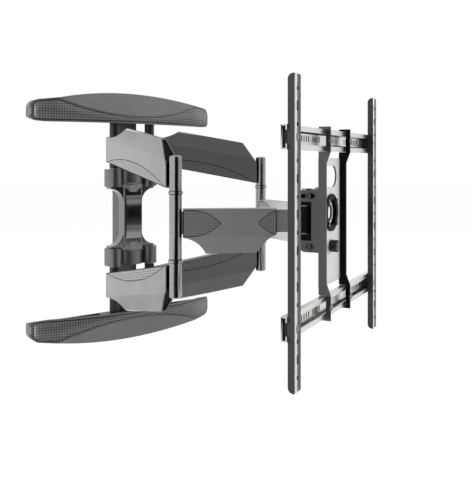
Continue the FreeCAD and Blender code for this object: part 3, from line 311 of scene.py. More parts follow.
def grained(name, dark, light, roughness, grain_mm, relief, metallic=0.0, shine=0.5):
    """A finish whose colour drifts between two tones and whose surface has a fine grain."""
    finish, tree, shader = new_finish(name, dark, roughness, metallic, shine)
    place = add_node(tree, "ShaderNodeTexCoord")
    cloud = add_node(tree, "ShaderNodeTexNoise", values={"Scale": 1 / CLOUD_SIZE, "Detail": 3.0},
                     links={"Vector": (place, "Object")})
    tones = add_node(tree, "ShaderNodeValToRGB", links={"Fac": (cloud, "Fac")})
    for stop, position, colour in zip(tones.color_ramp.elements, CLOUD_STOPS, (dark, light)):
        stop.color = linear(colour)
        stop.position = position
    tree.links.new(tones.outputs[0], shader.inputs["Base Color"])
    grain = add_node(tree, "ShaderNodeTexNoise", values={"Scale": 1 / (grain_mm * MM), "Detail": 2.0},
                     links={"Vector": (place, "Object")})
    polish = add_node(tree, "ShaderNodeMapRange",
                      values={TO_MIN: roughness - GLOSSIER, TO_MAX: roughness + DULLER},
                      links={0: (grain, "Fac")})
    tree.links.new(polish.outputs[0], shader.inputs["Roughness"])
    bump = add_node(tree, "ShaderNodeBump", values={"Strength": relief, "Distance": GRAIN_DEPTH},
                    links={"Height": (grain, "Fac")})
    tree.links.new(bump.outputs[0], shader.inputs["Normal"])
    return finish


print("recipe for moulded and painted finishes ready")

# %% Moulded finishes
# Grey ABS of the wall covers, moulded with a spark-eroded grain: dull, with a broad soft shine on the bulge.
cover_abs = grained("grey_abs_wall_cover", "#787878", "#808080", 0.46, 0.7, 0.2)
# Grey ABS of the end caps on the wall covers, darkened as painted shade: a deeper grey with the same soft
# shine.
cap_abs_shaded = grained("grey_abs_end_cap_painted_shade", "#4c4c4c", "#545454", 0.4, 0.7, 0.15)
# Grey ABS with a satin skin on the arm covers: smoother, so the bevels keep crisp tones.
arm_abs = grained("grey_abs_arm_cover", "#7c7c7c", "#828282", 0.42, 0.6, 0.14)
# Forearm covers in the arms' satin-skinned ABS, made paler as painted light: pale, with crisp tones.
forearm_abs_painted_light = grained("grey_abs_forearm_cover", "#b2b2b2", "#b8b8b8", 0.42, 0.6, 0.14)
# Painted highlight on the chamfers of the ABS covers: a bright line along the edge.
edge_highlight = grained("painted_edge_highlight", "#dcdcdc", "#e4e4e4", 0.18, 0.6, 0.05)
# Black nylon of the lock knob, moulded: a little shine on the edges.
nylon = grained("black_nylon", "#101010", "#161616", 0.4, 0.8, 0.2)
# Black painted shade in the grooves round the inserts, in the seams, ring gaps and rails: as dark as an open
# gap looks.
painted_groove_shade = grained("painted_groove_shade", "#101010", "#181818", 0.7, 0.6, 0.1, shine=0.12)
print("moulded finishes ready")

# %% Painted finishes
# Powder-coated steel of the hidden plates and tubes: black with a slight orange peel.
powder_coat = grained("black_powder_coat", "#1b1b1b", "#232323", 0.38, 1.2, 0.3)
# Painted light on the faces of the frame that look at the television: white, bright and even.
painted_light_white = grained("white_painted_light", "#f6f6f4", "#fafaf8", 0.34, 1.2, 0.1)
# Graphite paint of the spine between the covers: dark, with a faint metal flake.
graphite = grained("graphite_paint", "#4c4e4e", "#585a5a", 0.34, 1.0, 0.1, metallic=0.5)
# Grey enamel over the forearm's end block: close to the covers in tone, but harder and glossier.
grey_paint = grained("grey_enamel", "#bababa", "#c0c0c0", 0.35, 1.0, 0.12)
# Polished casting of the clevis blocks, dark plated: soft mirror-like gradients.
dark_casting = grained("dark_plated_casting", "#747474", "#7e7e7e", 0.32, 3.0, 0.02, metallic=0.92)
# Semi-gloss black paint of the slotted arms and their clamps: dark face on, pale at a slant.
black_paint = grained("black_semi_gloss_paint", "#3e3e3e", "#454545", 0.36, 1.0, 0.1, shine=0.3)
# Satin black of the tilt bracket and the centre bracket: a worn charcoal in the light.
satin_black = grained("satin_black_paint", "#545454", "#5a5a5a", 0.36, 1.0, 0.1, shine=0.3)
# Flat black paint of the head barrels, the yoke and the level disc: nearly no shine.
# The same black is painted shade in the open arm ends and on the bracket's inner face.
flat_black = grained("flat_black_paint_and_shade", "#070707", "#0b0b0b", 0.55, 1.0, 0.1, shine=0.12)
print("painted finishes ready")

# %% [markdown]
# ## Plating
#
# The posts, rings and rails are plated. A metal has no colour of its own beyond its tint, so its look is
# what it mirrors. Turned rods keep faint rings from the lathe, which vary the polish along the post's
# height. Drawn rails and bolts have lines deep enough for a slight bump as well.

# %% Plated steels
LINE_STRETCH = 8.0
LINE_DEPTH = 0.05 * MM
LINE_GLOSSY, LINE_DULL = 0.7, 1.4


def plated(name, tint, roughness, line_mm, relief=0.0):
    """A metal with fine level lines from turning or rolling."""
    finish, tree, shader = new_finish(name, tint, roughness, metallic=1.0)
    place = add_node(tree, "ShaderNodeTexCoord")
    squeeze = add_node(tree, "ShaderNodeMapping",
                       values={"Scale": (LINE_STRETCH, LINE_STRETCH, 1 / (line_mm * MM))},
                       links={"Vector": (place, "Object")})
    lines = add_node(tree, "ShaderNodeTexNoise", values={"Scale": 1.0, "Detail": 2.0},
                     links={"Vector": (squeeze, 0)})
    polish = add_node(tree, "ShaderNodeMapRange",
                      values={TO_MIN: roughness * LINE_GLOSSY, TO_MAX: roughness * LINE_DULL},
                      links={0: (lines, "Fac")})
    tree.links.new(polish.outputs[0], shader.inputs["Roughness"])
    if relief:
        bump = add_node(tree, "ShaderNodeBump", values={"Strength": relief, "Distance": LINE_DEPTH},
                        links={"Height": (lines, "Fac")})
        tree.links.new(bump.outputs[0], shader.inputs["Normal"])
    return finish


# Chrome over turned steel: bright with hard dark stripes where it mirrors the cards.
chrome = plated("turned_chrome", "#a2a2a2", 0.16, 2.0)
# Black chrome of the column: the same mirror, but dark.
black_chrome = plated("black_chrome", "#868686", 0.13, 4.0)
# Bright zinc on the rails: pale, with a soft drawn sheen.
zinc = plated("bright_zinc", "#d8d8d5", 0.28, 3.0, 0.06)
# Dull zinc on washers and bolts: grey, with blurred highlights.
dull_zinc = plated("dull_zinc", "#7d7d7c", 0.35, 1.0, 0.1)
# Black oxide on socket bolts: dark steel with an oily shine.
black_oxide = plated("black_oxide_steel", "#4e4e4e", 0.3, 1.0, 0.05)
print("plated finishes ready")

# %% [markdown]
# ## Finishes on the engineering nodes
#
# A node of the model keeps its shape and only gets its finish, in its own material slot.

# %% Dress the nodes
FINISHES = {
    cover_abs: ["top_wall_cover", "bottom_wall_cover"],
    powder_coat: ["top_wall_plate", "bottom_wall_plate", "wall_pins", "left_upper_arm_core",
                  "left_lower_arm_core", "right_upper_arm_core", "right_lower_arm_core"],
    graphite: ["wall_spine"],
    grey_paint: ["left_forearm_core", "right_forearm_core"],
    dark_casting: ["upper_clevis_block", "lower_clevis_block"],
    flat_black: ["head_yoke", "level_disc"],
    black_chrome: ["column_cover"],
    chrome: ["left_elbow_pin", "right_elbow_pin", "left_elbow_rings", "right_elbow_rings",
             "left_elbow_caps", "right_elbow_caps", "left_head_pin", "right_head_pin"],
    dull_zinc: ["wall_pin_washers", "wall_pin_nuts", "head_pin_washers", "rail_bolts", "left_clamp_bolts",
                "right_clamp_bolts", "tilt_pivot_bolts", "tilt_lock_bolts"],
    black_oxide: ["clevis_screws", "level_bolts"],
    zinc: ["top_rail", "bottom_rail"],
    black_paint: ["left_tv_arm", "right_tv_arm", "left_arm_clamps", "right_arm_clamps"],
    satin_black: ["tilt_bracket", "centre_bracket"],
    nylon: ["lock_knob"],
}
covers = [name for name in frame["nodes"] if "arm_" in name and name.endswith("_cover")]
FINISHES[forearm_abs_painted_light] = [name for name in covers if "forearm" in name]
FINISHES[arm_abs] = [name for name in covers if "forearm" not in name]
for finish, names in FINISHES.items():
    for name in names:
        data = frame["nodes"][name].data
        data.materials.clear()
        data.materials.append(finish)
print(sum(map(len, FINISHES.values())), "of", len(frame["nodes"]), "nodes dressed")

# %% [markdown]
# ## Textured inserts
#
# The covers have sunk patches with a fine texture: dashes like brickwork on the arms, small dimples on the
# forearms and the wall covers. Each insert is grown from the sunk face itself: the faces of the patch are
# copied from the node, drawn in from the rim, and thickened. What is left of the rim is a thin black line,
# painted shade that looks like an open groove. The insert then follows the cover exactly, also where it is
# bowed.

# %% Pieces from the faces of a node
TOUCHING = 0.002 * MM
NEARLY_FLAT = math.radians(0.2)


def make_piece(name, bm, body, finish):
    """Turn a bmesh into a piece that rides on a body."""
    mesh = bpy.data.meshes.new(name)
    bm.to_mesh(mesh)
    bm.free()
    piece = bpy.data.objects.new(name, mesh)
    scene.collection.objects.link(piece)
    mesh.materials.append(finish)
    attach(piece, body)
    return piece


def merged_copy(node):
    """A bmesh of a node, with its loose triangles joined where they touch."""
    bm = bmesh.new()
    bm.from_mesh(frame["nodes"][node].data)
    bmesh.ops.remove_doubles(bm, verts=bm.verts, dist=TOUCHING)
    return bm


def faces_of(node, wanted):
    """A bmesh with a node's faces that a test accepts, merged and freed of needless edges."""
    bm = merged_copy(node)
    bm.normal_update()
    bmesh.ops.delete(bm, geom=[face for face in bm.faces if not wanted(face)], context="FACES")
    bmesh.ops.dissolve_limit(bm, angle_limit=NEARLY_FLAT, verts=bm.verts, edges=bm.edges)
    return bm


def only(kind, geom):
    """The items of one kind among those that a bmesh operator returns."""
    return [item for item in geom if isinstance(item, kind)]


def thicken(bm, height):
    """Give open faces a thickness along their normals, so that they become a closed shell."""
    bm.normal_update()
    lifted = {vert: vert.normal.copy() for vert in bm.verts}
    grown = bmesh.ops.extrude_face_region(bm, geom=bm.faces[:], use_keep_orig=True)
    for vert in only(bmesh.types.BMVert, grown["geom"]):
        nearest = min(lifted, key=lambda old: (old.co - vert.co).length_squared)
        vert.co += lifted[nearest] * height
    bmesh.ops.recalc_face_normals(bm, faces=bm.faces)


print("helpers for pieces ready")

# %% An insert and the dark line round it
LINE_HEIGHT = 0.12 * MM


def draw_in(bm, width):
    """Inset all the faces by a width and return the rim that is left outside."""
    return bmesh.ops.inset_region(bm, faces=bm.faces[:], thickness=width, use_even_offset=True,
                                  use_boundary=True)["faces"]


def trim(bm, width):
    """Cut a margin of a width off open faces."""
    bmesh.ops.delete(bm, geom=draw_in(bm, width), context="FACES")


def marked_copy(bm):
    """A bmesh with only the faces marked by a material index of 1, and with the mark taken off them."""
    marked = bm.copy()
    bmesh.ops.delete(marked, geom=[f for f in marked.faces if f.material_index == 0], context="FACES")
    for face in marked.faces:
        face.material_index = 0
    return marked


def insert_and_line(bm, border, line, height):
    """Split faces into an insert and the dark line round it, both thickened; a border may stay plain."""
    if border:
        trim(bm, border)
    for face in draw_in(bm, line):
        face.material_index = 1
    around = marked_copy(bm)
    bmesh.ops.delete(bm, geom=[f for f in bm.faces if f.material_index == 1], context="FACES")
    thicken(around, LINE_HEIGHT)
    thicken(bm, height)
    return around


print("helpers for inserts ready")

# %% Dimpled texture
INSERT_ROUGHNESS = 0.5
DOT_STOPS = (0.24, 0.36)
DIMPLE_RELIEF, DIMPLE_DEPTH = 0.6, 0.3 * MM


def upright_plan(tree, heading, unit=1.0):
    """Object coordinates along a level heading and upwards, as the X and Y of a flat pattern."""
    place = add_node(tree, "ShaderNodeTexCoord")
    turn = add_node(tree, "ShaderNodeMapping", {"vector_type": "TEXTURE"},
                    {"Rotation": (0, 0, heading), "Scale": (unit, unit, unit)}, {"Vector": (place, "Object")})
    axes = add_node(tree, "ShaderNodeSeparateXYZ", links={0: (turn, 0)})
    return add_node(tree, "ShaderNodeCombineXYZ", links={"X": (axes, "X"), "Y": (axes, "Z")})


def dimpled(name, plain, dot, pitch_mm, heading):
    """ABS with a square grid of dimples, laid along a level heading and upright."""
    finish, tree, shader = new_finish(name, plain, INSERT_ROUGHNESS)
    flat = upright_plan(tree, heading, pitch_mm * MM)
    cell = add_node(tree, "ShaderNodeVectorMath", {"operation": "FRACTION"}, links={0: (flat, 0)})
    centred = add_node(tree, "ShaderNodeVectorMath", {"operation": "SUBTRACT"}, {1: (0.5, 0.5, 0)},
                       {0: (cell, 0)})
    away = add_node(tree, "ShaderNodeVectorMath", {"operation": "LENGTH"}, links={0: (centred, 0)})
    tones = add_node(tree, "ShaderNodeValToRGB", links={"Fac": (away, "Value")})
    for stop, position, colour in zip(tones.color_ramp.elements, DOT_STOPS, (dot, plain)):
        stop.color = linear(colour)
        stop.position = position
    tree.links.new(tones.outputs[0], shader.inputs["Base Color"])
    bump = add_node(tree, "ShaderNodeBump", values={"Strength": DIMPLE_RELIEF, "Distance": DIMPLE_DEPTH},
                    links={"Height": (tones, 0)})
    tree.links.new(bump.outputs[0], shader.inputs["Normal"])
    return finish


print("dimples of", DOT_STOPS[0], "to", DOT_STOPS[1], "of their pitch in radius")

# %% Dashed texture
DASH_JOINT, JOINT_BLUR = 0.55 * MM, 0.2
DASH_RELIEF, DASH_DEPTH = 0.5, 0.25 * MM


def dashed(name, plain, joint, dash_mm, heading, fall):
    """ABS with short raised dashes in staggered rows that follow the arm's slope."""
    finish, tree, shader = new_finish(name, plain, INSERT_ROUGHNESS)
    flat = upright_plan(tree, heading)
    lean = add_node(tree, "ShaderNodeMapping", {"vector_type": "TEXTURE"}, {"Rotation": (0, 0, fall)},
                    {"Vector": (flat, 0)})
    bricks = add_node(tree, "ShaderNodeTexBrick",
                      values={"Color1": linear(plain), "Color2": linear(plain), "Mortar": linear(joint),
                              "Scale": 1.0, "Brick Width": dash_mm * MM, "Row Height": dash_mm * MM / 2,
                              "Mortar Size": DASH_JOINT, "Mortar Smooth": JOINT_BLUR},
                      links={"Vector": (lean, 0)})
    tree.links.new(bricks.outputs["Color"], shader.inputs["Base Color"])
    bump = add_node(tree, "ShaderNodeBump", {"invert": True},
                    {"Strength": DASH_RELIEF, "Distance": DASH_DEPTH}, {"Height": (bricks, "Fac")})
    tree.links.new(bump.outputs[0], shader.inputs["Normal"])
    return finish


print("joints between dashes", round(DASH_JOINT / MM, 2), "mm wide")

# %% Arm inserts: dashes
LEVELS = (("upper", 1), ("lower", -1))
COVER_FACES = (("front", -1), ("back", 1))
SAME_WAY = 0.99  # least cosine between two directions that count as one
ARM_LENGTH, ARM_DROP = 223.7 * MM, 42.5 * MM
ARM_FALL = math.atan2(ARM_DROP, ARM_LENGTH)
ARM_HALF_WIDTH = 12 * MM
SUNK, SUNK_PLAY = 0.5 * MM, 0.1 * MM
GROOVE = 1.1 * MM
INSERT_HEIGHT = 0.38 * MM
DASH_LENGTH_MM = 8.0


def on_sunk_floor(place, away):
    """A test for faces that lie on the sunk floor of a cover on one side of an arm."""
    outward = (place.to_3x3() @ Vector((0, away, 0))).normalized()
    back = place.inverted()

    def wanted(face):
        if face.normal.dot(outward) < SAME_WAY:
            return False
        depth = (back @ face.calc_center_median()).y * away
        return abs(depth - (ARM_HALF_WIDTH - SUNK)) < SUNK_PLAY
    return wanted


def fill_sunk_patch(name, place, away, body, texture, plural=""):
    """Make the insert and the dark line in the sunk patch of one cover."""
    bm = faces_of(name + "_cover", on_sunk_floor(place, away))
    around = insert_and_line(bm, 0, GROOVE, INSERT_HEIGHT)
    print(name, "insert faces", len(bm.faces), "line faces", len(around.faces))
    make_piece(f"{name}_insert{plural}", bm, body, texture)
    make_piece(f"{name}_line{plural}", around, body, painted_groove_shade)


for side, place in ARMS.items():
    heading = place.to_euler().z
    for level, up in LEVELS:
        texture = dashed(f"dashed_abs_{side}_{level}", "#8d8d8d", "#555555", DASH_LENGTH_MM, heading,
                         -up * ARM_FALL)
        for face_name, away in COVER_FACES:
            fill_sunk_patch(f"{side}_{level}_arm_{face_name}", place, away, f"{side}_arm", texture)

# %% Forearm inserts: dimples
FOREARM_PITCH_MM = 3.9
# The pale grey of the forearm inserts is painted light, like their covers.
for side, place in FOREARMS.items():
    texture = dimpled(f"dimpled_abs_{side}_forearm", "#b0b0b0", "#505050", FOREARM_PITCH_MM,
                      place.to_euler().z)
    for face_name, away in COVER_FACES:
        fill_sunk_patch(f"{side}_forearm_{face_name}", place, away, f"{side}_forearm", texture, "s")

# %% Wall cover inserts: dimples on the bowed front
ROWS = ("top", "bottom")
COVER_BORDER = 3.2 * MM
COVER_LINE = 1.0 * MM
COVER_INSERT_HEIGHT = 0.3 * MM
COVER_PITCH_MM = 4.6
BOW_START, BOW_TURN, BOW_SLOPE = -26 * MM, -0.6, 0.05
cover_texture = dimpled("dimpled_abs_wall_cover", "#8e8e8e", "#3c3c3c", COVER_PITCH_MM, 0.0)


def on_bowed_front(face):
    """The bowed front below the facet: upright, and turned to the room."""
    return (face.normal.y < BOW_TURN and abs(face.normal.z) < BOW_SLOPE
            and face.calc_center_median().y < BOW_START)


for row in ROWS:
    bm = faces_of(f"{row}_wall_cover", on_bowed_front)
    around = insert_and_line(bm, COVER_BORDER, COVER_LINE, COVER_INSERT_HEIGHT)
    print(row, "cover insert faces", len(bm.faces), "line faces", len(around.faces))
    make_piece(f"{row}_wall_cover_insert", bm, "wall_bracket", cover_texture)
    make_piece(f"{row}_wall_cover_line", around, "wall_bracket", painted_groove_shade)

# %% [markdown]
# ## End caps of the wall covers
#
# Each wall cover is closed by a cap at either end, and the joint shows as a dark seam round the end. The
# seam is painted shade: a strip of the cover's own end surface between two upright planes, thickened by a
# hair. What lies behind the seam becomes the cap in the same way, darker grey as painted shade on the end.

# %% Seams and end caps
SEAM_BACK = 5.0 * MM
SEAM_WIDTH = 1.6 * MM
CAP_REACH = 30 * MM
HAIR = 0.01 * MM
ACROSS = 0.1  # largest cosine between two directions that count as square to each other
END_TURN = 0.05


def everything(bm):
    """All the points, edges and faces of a bmesh."""
    return bm.verts[:] + bm.edges[:] + bm.faces[:]


def cut_away(bm, point, facing):
    """Cut with a plane, drop what lies on the side that it faces, and return what the cut made."""
    return bmesh.ops.bisect_plane(bm, geom=everything(bm), plane_co=point, plane_no=facing, clear_outer=True)


def keep_within(bm, low, high):
    """Hold points back that would stand out past the ends of a node's box by more than a hair."""
    for vert in bm.verts:
        vert.co.x = min(max(vert.co.x, low[0] - HAIR), high[0] + HAIR)


def on_cover_end(tip, way):
    """A test for faces of a wall cover that close it at one tip."""
    def wanted(face):
        return (abs(face.normal.y) < ACROSS and face.normal.x * way > END_TURN
                and (tip - face.calc_center_median().x) * way < CAP_REACH)
    return wanted


for row in ROWS:
    cover_low, cover_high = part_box(f"{row}_wall_cover")
    for side, way, tip in (("left", -1, cover_low[0]), ("right", 1, cover_high[0])):
        whole = faces_of(f"{row}_wall_cover", on_cover_end(tip, way))
        edge = min(vert.co.y for vert in whole.verts)
        seam_front, seam_back = edge + SEAM_BACK, edge + SEAM_BACK + SEAM_WIDTH
        for part, finish, cuts in (("seam", painted_groove_shade, ((seam_front, -1), (seam_back, 1))),
                                   ("cap", cap_abs_shaded, ((seam_back, -1),))):
            bm = whole.copy()
            for depth, facing in cuts:
                cut_away(bm, (0, depth, 0), (0, facing, 0))
            print(row, side, part, "faces", len(bm.faces))
            thicken(bm, LINE_HEIGHT)
            keep_within(bm, cover_low, cover_high)
            make_piece(f"{row}_wall_cover_{side}_{part}", bm, "wall_bracket", finish)
        whole.free()

# %% [markdown]
# ## Plated sleeves
#
# The elbow posts shine along their whole height. On the real arm a plated sleeve is pushed over each length
# of tube. A sleeve is a ring of a few points spun about the post: a thin wall with broken edges. Where a
# ring of the elbow turns on its neighbour, a black ring spun in the same way is painted shade in the gap.

# %% Spun rings
SHARP = math.radians(30)
SPIN_STEPS = 48
SPIN_MERGE = 0.001 * MM


def soften(bm):
    """Shade faces as one smooth surface wherever they don't meet at a sharp edge."""
    for face in bm.faces:
        face.smooth = True
    for edge in bm.edges:
        edge.smooth = edge.calc_face_angle(0) < SHARP


def spun(outline, place):
    """A ring turned from an outline of radii and heights about the Z axis of a place."""
    bm = bmesh.new()
    verts = [bm.verts.new((r, 0, z)) for r, z in outline]
    edges = [bm.edges.new((verts[k], verts[(k + 1) % len(verts)])) for k in range(len(verts))]
    bmesh.ops.spin(bm, geom=verts + edges, cent=(0, 0, 0), axis=(0, 0, 1), angle=2 * math.pi,
                   steps=SPIN_STEPS, use_merge=True)
    bmesh.ops.remove_doubles(bm, verts=bm.verts, dist=SPIN_MERGE)
    bmesh.ops.recalc_face_normals(bm, faces=bm.faces)
    bmesh.ops.transform(bm, matrix=place, verts=bm.verts)
    soften(bm)
    return bm


def tube(inner, outer, low, high, edge):
    """The outline of a thin tube whose outer edges are broken."""
    return [(inner, low), (outer - edge, low), (outer, low + edge), (outer, high - edge),
            (outer - edge, high), (inner, high)]


print("rings are spun in", SPIN_STEPS, "steps")

# %% Sleeves on the elbows
POST_RADIUS = 10.0 * MM
SLEEVE_WALL, SLEEVE_EDGE, SLEEVE_LAP = 0.3 * MM, 0.25 * MM, 0.05 * MM
ELBOW_CAP, ELBOW_RING, RING_PLAY = 3.0 * MM, 4.0 * MM, 0.4 * MM
RING_AND_PLAY = ELBOW_RING + RING_PLAY
for side in ARMS:
    rings_low, rings_high = (corner[2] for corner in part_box(f"{side}_elbow_rings"))
    caps_low, caps_high = (corner[2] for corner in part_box(f"{side}_elbow_caps"))
    lengths = {
        "upper": (rings_high, caps_high - ELBOW_CAP, f"{side}_arm"),
        "lower": (caps_low + ELBOW_CAP, rings_low, f"{side}_arm"),
        "middle": (rings_low + RING_AND_PLAY, rings_high - RING_AND_PLAY, f"{side}_forearm"),
    }
    for level, (low, high, body) in lengths.items():
        outline = tube(POST_RADIUS - SLEEVE_LAP, POST_RADIUS + SLEEVE_WALL, low, high, SLEEVE_EDGE)
        bm = spun(outline, Matrix.Translation(pivot(f"{side}_elbow")))
        make_piece(f"{side}_elbow_{level}_sleeve", bm, body, chrome)
        print(side, level, "elbow sleeve", round((high - low) / MM), "mm tall")

# %% Painted shade in the gaps beside the elbow rings
GAP_HEIGHT, GAP_RADIUS, GAP_EDGE = 0.9 * MM, 10.45 * MM, 0.05 * MM
for side in ARMS:
    rings_low, rings_high = (corner[2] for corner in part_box(f"{side}_elbow_rings"))
    gaps = {
        "top_outer": (rings_high, f"{side}_arm"),
        "top_inner": (rings_high - RING_AND_PLAY - GAP_HEIGHT, f"{side}_forearm"),
        "bottom_inner": (rings_low + RING_AND_PLAY, f"{side}_forearm"),
        "bottom_outer": (rings_low - GAP_HEIGHT, f"{side}_arm"),
    }
    for gap_name, (low, body) in gaps.items():
        outline = tube(POST_RADIUS, GAP_RADIUS, low, low + GAP_HEIGHT, GAP_EDGE)
        bm = spun(outline, Matrix.Translation(pivot(f"{side}_elbow")))
        make_piece(f"{side}_elbow_{gap_name}_gap", bm, body, painted_groove_shade)
    print(side, "ring gaps at", round(rings_low / MM, 1), "and", round(rings_high / MM, 1), "mm")

# %% Black sleeves on the head barrels
HEAD_BARREL_RADIUS, HEAD_BARREL_WALL = 14.2 * MM, 0.2 * MM
HEAD_BARREL_LOW, HEAD_BARREL_HIGH = -11.0 * MM, 32.0 * MM
for side, head_pivot in (("left", left_head), ("right", right_head)):
    outline = tube(HEAD_BARREL_RADIUS - SLEEVE_LAP, HEAD_BARREL_RADIUS + HEAD_BARREL_WALL, HEAD_BARREL_LOW,
                   HEAD_BARREL_HIGH, HEAD_BARREL_WALL / 2)
    bm = spun(outline, Matrix.Translation(head_pivot))
    make_piece(f"{side}_barrel_sleeve", bm, f"{side}_forearm", flat_black)
print("barrel sleeves at height", round(left_head.z, 3))

# %% [markdown]
# ## Chamfered arm covers
#
# The top edge of each arm cover is broken by a chamfer, and a bright line runs along it. The engineering
# covers have a sharp edge there, so each cover is copied, cut by one slanting plane and closed again where
# it was cut. The copy takes the place of the node, and a thin strip of painted highlight lies on the cut
# and makes the bright line.

# %% The plane of a chamfer
CHAMFER = 1.6 * MM
PEAK = Vector((58 * MM, 0, 165 * MM))
SHOULDER = Vector((185.7 * MM, 0, 143 * MM))
RIDGE_ROOT, RIDGE_TIP = 146 * MM, 108 * MM
BEVEL_INWARD, BEVEL_TALL = 6 * MM, 24 * MM
BEVEL_LEAN = math.atan2(BEVEL_INWARD, BEVEL_TALL)
peak_ridge = RIDGE_ROOT + (RIDGE_TIP - RIDGE_ROOT) * PEAK.x / ARM_LENGTH
peak_half = ARM_HALF_WIDTH - (PEAK.z - peak_ridge) * math.tan(BEVEL_LEAN)
top_slope = Vector((PEAK.z - SHOULDER.z, 0, SHOULDER.x - PEAK.x)).normalized()


def chamfer_plane(place, away, up):
    """A point and the facing of the plane that breaks the top edge on one side of an arm."""
    band = Vector((0, away * math.cos(BEVEL_LEAN), math.sin(BEVEL_LEAN)))
    facing = (top_slope + band).normalized()
    corner = Vector((PEAK.x, away * peak_half, PEAK.z)) - facing * CHAMFER
    facing.z *= up
    corner.z *= up
    return place @ corner, place.to_3x3() @ facing


print("an arm is", round(2 * peak_half / MM, 1), "mm wide at its peak")

# %% Cut the chamfers
EDGE_HEIGHT = 0.06 * MM


def open_edges(bm):
    """The number of edges with a face on one side only, which is none in a closed piece."""
    return sum(edge.is_boundary for edge in bm.edges)


for side, place in ARMS.items():
    for level, up in LEVELS:
        for face_name, away in COVER_FACES:
            name = f"{side}_{level}_arm_{face_name}"
            bm = merged_copy(name + "_cover")
            point, facing = chamfer_plane(place, away, up)
            rim = only(bmesh.types.BMEdge, cut_away(bm, point, facing)["geom_cut"])
            filled = bmesh.ops.triangle_fill(bm, edges=rim, use_beauty=True, normal=facing)
            for face in only(bmesh.types.BMFace, filled["geom"]):
                face.material_index = 1
            highlight_strip = marked_copy(bm)
            thicken(highlight_strip, EDGE_HEIGHT)
            make_piece(name + "_edge", highlight_strip, f"{side}_arm", edge_highlight)
            for face in bm.faces:
                face.material_index = 0
                face.smooth = False
            print(name, "shell cut by", len(rim), "edges, open edges", open_edges(bm))
            shell = make_piece(name + "_shell", bm, f"{side}_arm", arm_abs)
            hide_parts(name + "_cover")

# %% [markdown]
# ## Dark ends of the arms
#
# At the elbow the arm covers are open, and one looks into a dark hollow. A black plate stands a little
# inside the slanted opening, as wide as the hollow is there: painted shade for the hollow.

# %% Plates of painted shade in the slanted ends
END_LOW, END_HIGH = Vector((209.5 * MM, 0, 103.5 * MM)), Vector((185.0 * MM, 0, 139.8 * MM))
END_HALF_LOW, END_HALF_HIGH = 9.9 * MM, 3.6 * MM
END_PLATE = 0.8 * MM
END_CORNERS = ((END_LOW, -END_HALF_LOW), (END_LOW, END_HALF_LOW), (END_HIGH, END_HALF_HIGH),
               (END_HIGH, -END_HALF_HIGH))
for side, place in ARMS.items():
    for level, up in LEVELS:
        bm = bmesh.new()
        spots = [place @ Vector((spot.x, half, spot.z * up)) for spot, half in END_CORNERS]
        bm.faces.new([bm.verts.new(spot) for spot in spots])
        thicken(bm, END_PLATE)
        make_piece(f"{side}_{level}_arm_end_shade_plate", bm, f"{side}_arm", flat_black)
print("end plates in four arms")

# %% [markdown]
# ## Barrels and front of the wall post
#
# Between the two pivots of each clevis block a polished barrel bulges out and narrows in a skirt to the
# column. It is part of a turned ring, so its outline is spun through a part of a turn and its two end faces
# are kept. The front of the column is a plated panel, bowed a little, so that it mirrors the sky at its top
# and the floor at its foot.

# %% Clevis barrels
CLEVIS_AXIS = Vector((0, -30 * MM, 0))
CLEVIS_SWEEP = math.radians(112)
CLEVIS_STEPS = 40
CLEVIS_OUTLINE_MM = [(16, 90.5), (29, 90.5), (30, 89.5), (30, 65), (31.2, 63.5), (31.2, 61.5), (30, 60),
                     (27.5, 56), (24.5, 51.5), (23, 47.5), (16, 47.5)]
start = Matrix.Rotation(-math.pi / 2 - CLEVIS_SWEEP / 2, 4, "Z")
for level, up in LEVELS:
    bm = bmesh.new()
    verts = [bm.verts.new(start @ Vector((r * MM, 0, z * MM * up))) for r, z in CLEVIS_OUTLINE_MM]
    outline = bm.faces.new(verts)
    bmesh.ops.spin(bm, geom=[outline] + outline.edges[:] + verts, cent=(0, 0, 0), axis=(0, 0, 1),
                   angle=CLEVIS_SWEEP, steps=CLEVIS_STEPS)
    bmesh.ops.translate(bm, vec=CLEVIS_AXIS, verts=bm.verts)
    bmesh.ops.recalc_face_normals(bm, faces=bm.faces)
    soften(bm)
    print(level, "barrel faces", len(bm.faces), "open edges", open_edges(bm))
    make_piece(f"{level}_clevis_barrel", bm, "wall_bracket", dark_casting)

# %% Bowed panel on the column
PANEL_HALF, PANEL_TALL, PANEL_BOW = 16 * MM, 41 * MM, 3.2 * MM
PANEL_FRONT, PANEL_RIM, PANEL_ROOT = -52.1 * MM, 0.4 * MM, 1.0 * MM
PANEL_STEPS = 24
bm = bmesh.new()
bmesh.ops.create_grid(bm, x_segments=1, y_segments=PANEL_STEPS, size=1.0)
for vert in bm.verts:
    bow = PANEL_BOW * (1 - vert.co.y ** 2)
    vert.co = Vector((vert.co.x * PANEL_HALF, PANEL_FRONT - PANEL_RIM - bow, vert.co.y * PANEL_TALL))
bmesh.ops.recalc_face_normals(bm, faces=bm.faces)
bm.normal_update()
if sum(face.normal.y for face in bm.faces) > 0:
    bmesh.ops.reverse_faces(bm, faces=bm.faces)
rim = bmesh.ops.extrude_edge_only(bm, edges=[edge for edge in bm.edges if edge.is_boundary])
for vert in only(bmesh.types.BMVert, rim["geom"]):
    vert.co.y = PANEL_FRONT + PANEL_ROOT
bmesh.ops.holes_fill(bm, edges=[edge for edge in bm.edges if edge.is_boundary], sides=0)
bmesh.ops.recalc_face_normals(bm, faces=bm.faces)
soften(bm)
print("panel faces", len(bm.faces), "open edges", open_edges(bm))
make_piece("column_front_panel", bm, "wall_bracket", black_chrome)

# %% [markdown]
# ## Bright faces of the frame
#
# The faces that look at the television are bright against the dark sides. The brightness is painted light:
# a white strip along each slotted arm, and a white face on the centre bracket. They are thin plates, grown
# like the inserts from the faces of the nodes, so that they keep every hole and slot.

